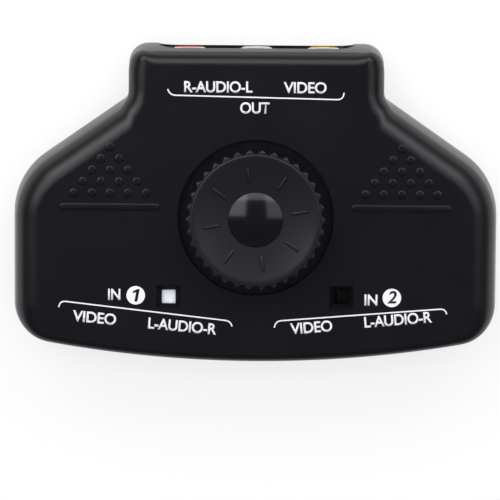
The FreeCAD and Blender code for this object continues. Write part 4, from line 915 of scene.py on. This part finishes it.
# Heights over the top, and the marks' sizes, in millimetres
INK_ROOT = -0.01
INK_CREST = 0.02
NUMERAL_CREST = 0.035
LETTER_HEIGHT = 2.85
LETTER_WEIGHT = 0.085
LETTER_SPACING = 0.95
CAPITAL_SHARE = 0.73
LINE_WIDTH = 0.34
BEND_REACH = 1.5
BEND_STEPS = 6
DISC_RADIUS = 2.36
DISC_SIDES = 64
NUMERAL_HEIGHT = 3.2
NUMERAL_WEIGHT = 0.10
NUMERAL_SHEAR = 0.18
NUMERAL_ONE = ((-0.05, -1.6), (0.72, -1.6), (0.72, 1.6), (0.10, 1.6), (-0.85, 1.05), (-0.85, 0.42),
               (-0.05, 0.82))
print_ink = moulded_plastic(
    "print_ink", INK_WHITE, INK_THIN, INK_ROUGHNESS, INK_GRAIN, KNOB_GRAIN_DEPTH)


def printed(name, mesh, ink=print_ink, crest=INK_CREST):
    """A thin closed layer of ink on the case's top, from a flat mesh in millimetres."""
    mesh.transform(Matrix.Scale(MM, 4))
    form = bmesh.new()
    form.from_mesh(mesh)
    bmesh.ops.remove_doubles(form, verts=form.verts, dist=MERGE_DISTANCE)
    for vertex in form.verts:
        vertex.co.z = (TOP_LEVEL + INK_ROOT) * MM
    raised = bmesh.ops.extrude_face_region(form, geom=form.faces)["geom"]
    for vertex in [part for part in raised if isinstance(part, bmesh.types.BMVert)]:
        vertex.co.z = (TOP_LEVEL + crest) * MM
    bmesh.ops.recalc_face_normals(form, faces=form.faces)
    form.to_mesh(mesh)
    form.free()
    mesh.materials.clear()
    mesh.materials.append(ink)
    piece = bpy.data.objects.new(name, mesh)
    bpy.context.scene.collection.objects.link(piece)
    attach(piece, "case")


def lettering(text, height, weight, shear=0):
    """A flat mesh of a word in millimetres, about its own middle."""
    curve = bpy.data.curves.new(text, "FONT")
    curve.body = text
    curve.align_x = "CENTER"
    curve.align_y = "CENTER"
    curve.size = height / CAPITAL_SHARE
    curve.offset = weight
    curve.shear = shear
    curve.space_character = LETTER_SPACING
    outline = bpy.data.objects.new(text, curve)
    bpy.context.scene.collection.objects.link(outline)
    mesh = plain_mesh(outline)
    bpy.data.objects.remove(outline)
    return mesh


def word(name, text, centre, turn=0, stretch=1.0):
    """Prints a word about a centre in millimetres, turned by an angle in degrees."""
    mesh = lettering(text, LETTER_HEIGHT, LETTER_WEIGHT)
    place = Matrix.Translation((*centre, 0)) @ Matrix.Rotation(math.radians(turn), 4, "Z")
    mesh.transform(place @ Matrix.Diagonal((stretch, 1, 1, 1)))
    printed(name, mesh)


def flat_face(name, points):
    """A flat mesh of one face through points in millimetres."""
    mesh = bpy.data.meshes.new(name)
    mesh.from_pydata([(x, y, 0) for x, y in points], [], [range(len(points))])
    return mesh


def numbered_disc(name, numeral, centre):
    """Prints a white disc with a numeral in the case's colour."""
    points = []
    for step in range(DISC_SIDES):
        angle = 2 * math.pi * step / DISC_SIDES
        points.append((centre[0] + DISC_RADIUS * math.cos(angle),
                       centre[1] + DISC_RADIUS * math.sin(angle)))
    printed(name, flat_face(name, points))
    if numeral == "1":
        mesh = flat_face(f"{name}_stroke", [(x + NUMERAL_SHEAR * y, y) for x, y in NUMERAL_ONE])
    else:
        mesh = lettering(numeral, NUMERAL_HEIGHT, NUMERAL_WEIGHT, NUMERAL_SHEAR)
    mesh.transform(Matrix.Translation((*centre, 0)))
    printed(f"{name}_numeral", mesh, case_plastic, NUMERAL_CREST)


def rounded_line(corners):
    """A line through corners, in millimetres, with its bends rounded."""
    points = [Vector(corners[0])]
    for before, corner, after in zip(corners, corners[1:], corners[2:]):
        corner = Vector(corner)
        back, onward = Vector(before) - corner, Vector(after) - corner
        start = corner + back.normalized() * min(BEND_REACH, back.length)
        end = corner + onward.normalized() * min(BEND_REACH, onward.length)
        for step in range(BEND_STEPS + 1):
            share = step / BEND_STEPS
            points.append(start.lerp(corner, share).lerp(corner.lerp(end, share), share))
    points.append(Vector(corners[-1]))
    return points


def bracket(name, corners):
    """Prints a line of even width, with its two short ends turned."""
    points = rounded_line(corners)
    left, right = [], []
    for index, point in enumerate(points):
        along = points[min(index + 1, len(points) - 1)] - points[max(index - 1, 0)]
        side = Vector((-along.y, along.x)).normalized() * (LINE_WIDTH / 2)
        left.append(tuple(point + side))
        right.append(tuple(point - side))
    printed(name, flat_face(name, left + right[::-1]))


word("print_out_audio", "R-AUDIO-L", (-9.75, 29.27), stretch=0.943)
word("print_out_video", "VIDEO", (12.4, 29.2), stretch=0.978)
word("print_out", "OUT", (-0.4, 24.02), stretch=0.925)
bracket("print_out_bracket", ((-22.41, 28.81), (-21.9, 27.29), (21.88, 26.40), (22.13, 28.17)))
word("print_in1", "IN", (-35.8, -23.5), stretch=0.9)
word("print_in2", "IN", (29.5, -24.5), stretch=0.95)
numbered_disc("print_disc_1", "1", (-30.33, -23.55))
numbered_disc("print_disc_2", "2", (34.8, -23.78))
bracket("print_in1_bracket", ((-49.88, -26.71), (-49.62, -25.07), (-6.1, -29.97), (-5.79, -31.34)))
bracket("print_in2_bracket", ((4.97, -31.65), (5.3, -29.9), (48.5, -26.45), (48.8, -27.84)))
word("print_in1_video", "VIDEO", (-40.7, -29.5), turn=-5)
word("print_in1_audio", "L-AUDIO-R", (-18.6, -31.5), turn=-5, stretch=0.947)
word("print_in2_video", "VIDEO", (14.5, -31.6), turn=5, stretch=0.965)
word("print_in2_audio", "L-AUDIO-R", (36.3, -29.5), turn=5, stretch=0.935)

# Floor, backdrop and lights
# A white table in a plain studio. Two softboxes stand over the back corners, a broad panel behind
# the table lights its back edge, and a wide fill lights what faces up. The ceiling itself is dim.
FLOOR_WHITE = (0.95, 0.95, 0.95, 1)
FLOOR_SIZE = 3.0
FLOOR_GLOW = 0.7
floor_material, floor_tree = new_material("floor")
paper = floor_tree.add("ShaderNodeBsdfDiffuse", {}, {"Color": FLOOR_WHITE})
glow = floor_tree.add("ShaderNodeEmission", {}, {"Color": (1, 1, 1, 1), "Strength": 1})
seen_by_camera = floor_tree.add("ShaderNodeLightPath", output="Is Camera Ray")
seen_in_gloss = floor_tree.add("ShaderNodeLightPath", output="Is Glossy Ray")
table_top = floor_tree.add("ShaderNodeMixShader", {}, {
    0: (seen_by_camera + seen_in_gloss) * FLOOR_GLOW, 1: paper, 2: glow})
floor_tree.add("ShaderNodeOutputMaterial", {}, {"Surface": table_top})
half = FLOOR_SIZE / 2
floor_mesh = bpy.data.meshes.new("floor")
floor_corners = [(-half, -half, 0), (half, -half, 0), (half, half, 0), (-half, half, 0)]
floor_mesh.from_pydata(floor_corners, [], [(0, 1, 2, 3)])
floor = bpy.data.objects.new("floor", floor_mesh)
bpy.context.scene.collection.objects.link(floor)
floor_mesh.materials.append(floor_material)


def panel_light(name, place, turns, size, radiance, in_reflections=True):
    """A flat panel that lights one way, in metres and degrees. With no turn it faces down."""
    light = bpy.data.lights.new(name, "AREA")
    light.shape = "RECTANGLE"
    light.size, light.size_y = size
    light.energy = radiance * math.pi * size[0] * size[1]
    lamp = bpy.data.objects.new(name, light)
    lamp.location = place
    lamp.rotation_euler = [math.radians(turn) for turn in turns]
    lamp.visible_camera = False
    lamp.visible_glossy = in_reflections
    bpy.context.scene.collection.objects.link(lamp)


panel_light(
    "softbox_left", place=(-0.82, 0.66, 1.0), turns=(0, 0, 0), size=(1.0, 1.2), radiance=1.9)
panel_light(
    "softbox_right", place=(0.86, 0.60, 1.0), turns=(0, 0, 0), size=(1.0, 1.2), radiance=1.2)
panel_light(
    "back_panel", place=(0, 1.05, 0.95), turns=(-48, 0, 0), size=(2.0, 0.75), radiance=1.9)
panel_light(
    "fill", place=(0, -0.05, 1.6), turns=(0, 0, 0), size=(1.2, 1.2), radiance=3.7,
    in_reflections=False)

# How bright the room is, from the horizon up to the ceiling
ROOM_GREYS = ((0.0, 0.80), (0.06, 0.45), (0.14, 0.12), (0.60, 0.10), (0.85, 0.05), (1.0, 0.04))
world = bpy.data.worlds.new("studio")
world.use_nodes = True
bpy.context.scene.world = world
world_tree = Tree(world.node_tree)
direction = world_tree.add("ShaderNodeTexCoord", output="Generated")
height = world_tree.add("ShaderNodeSeparateXYZ", {}, {"Vector": direction}, output="Z")
stops = [(share, (grey, grey, grey, 1)) for share, grey in ROOM_GREYS]
walls = world_tree.add("ShaderNodeValToRGB", {"stops": stops}, {"Fac": height})
room = world_tree.add("ShaderNodeBackground", {}, {"Color": walls, "Strength": 1})
plain_white = world_tree.add("ShaderNodeBackground", {}, {"Color": (1, 1, 1, 1), "Strength": 1})
camera_ray = world_tree.add("ShaderNodeLightPath", output="Is Camera Ray")
both = world_tree.add("ShaderNodeMixShader", {}, {0: camera_ray, 1: room, 2: plain_white})
world_tree.add("ShaderNodeOutputWorld", {}, {"Surface": both})

bpy.context.scene.view_settings.view_transform = "Standard"
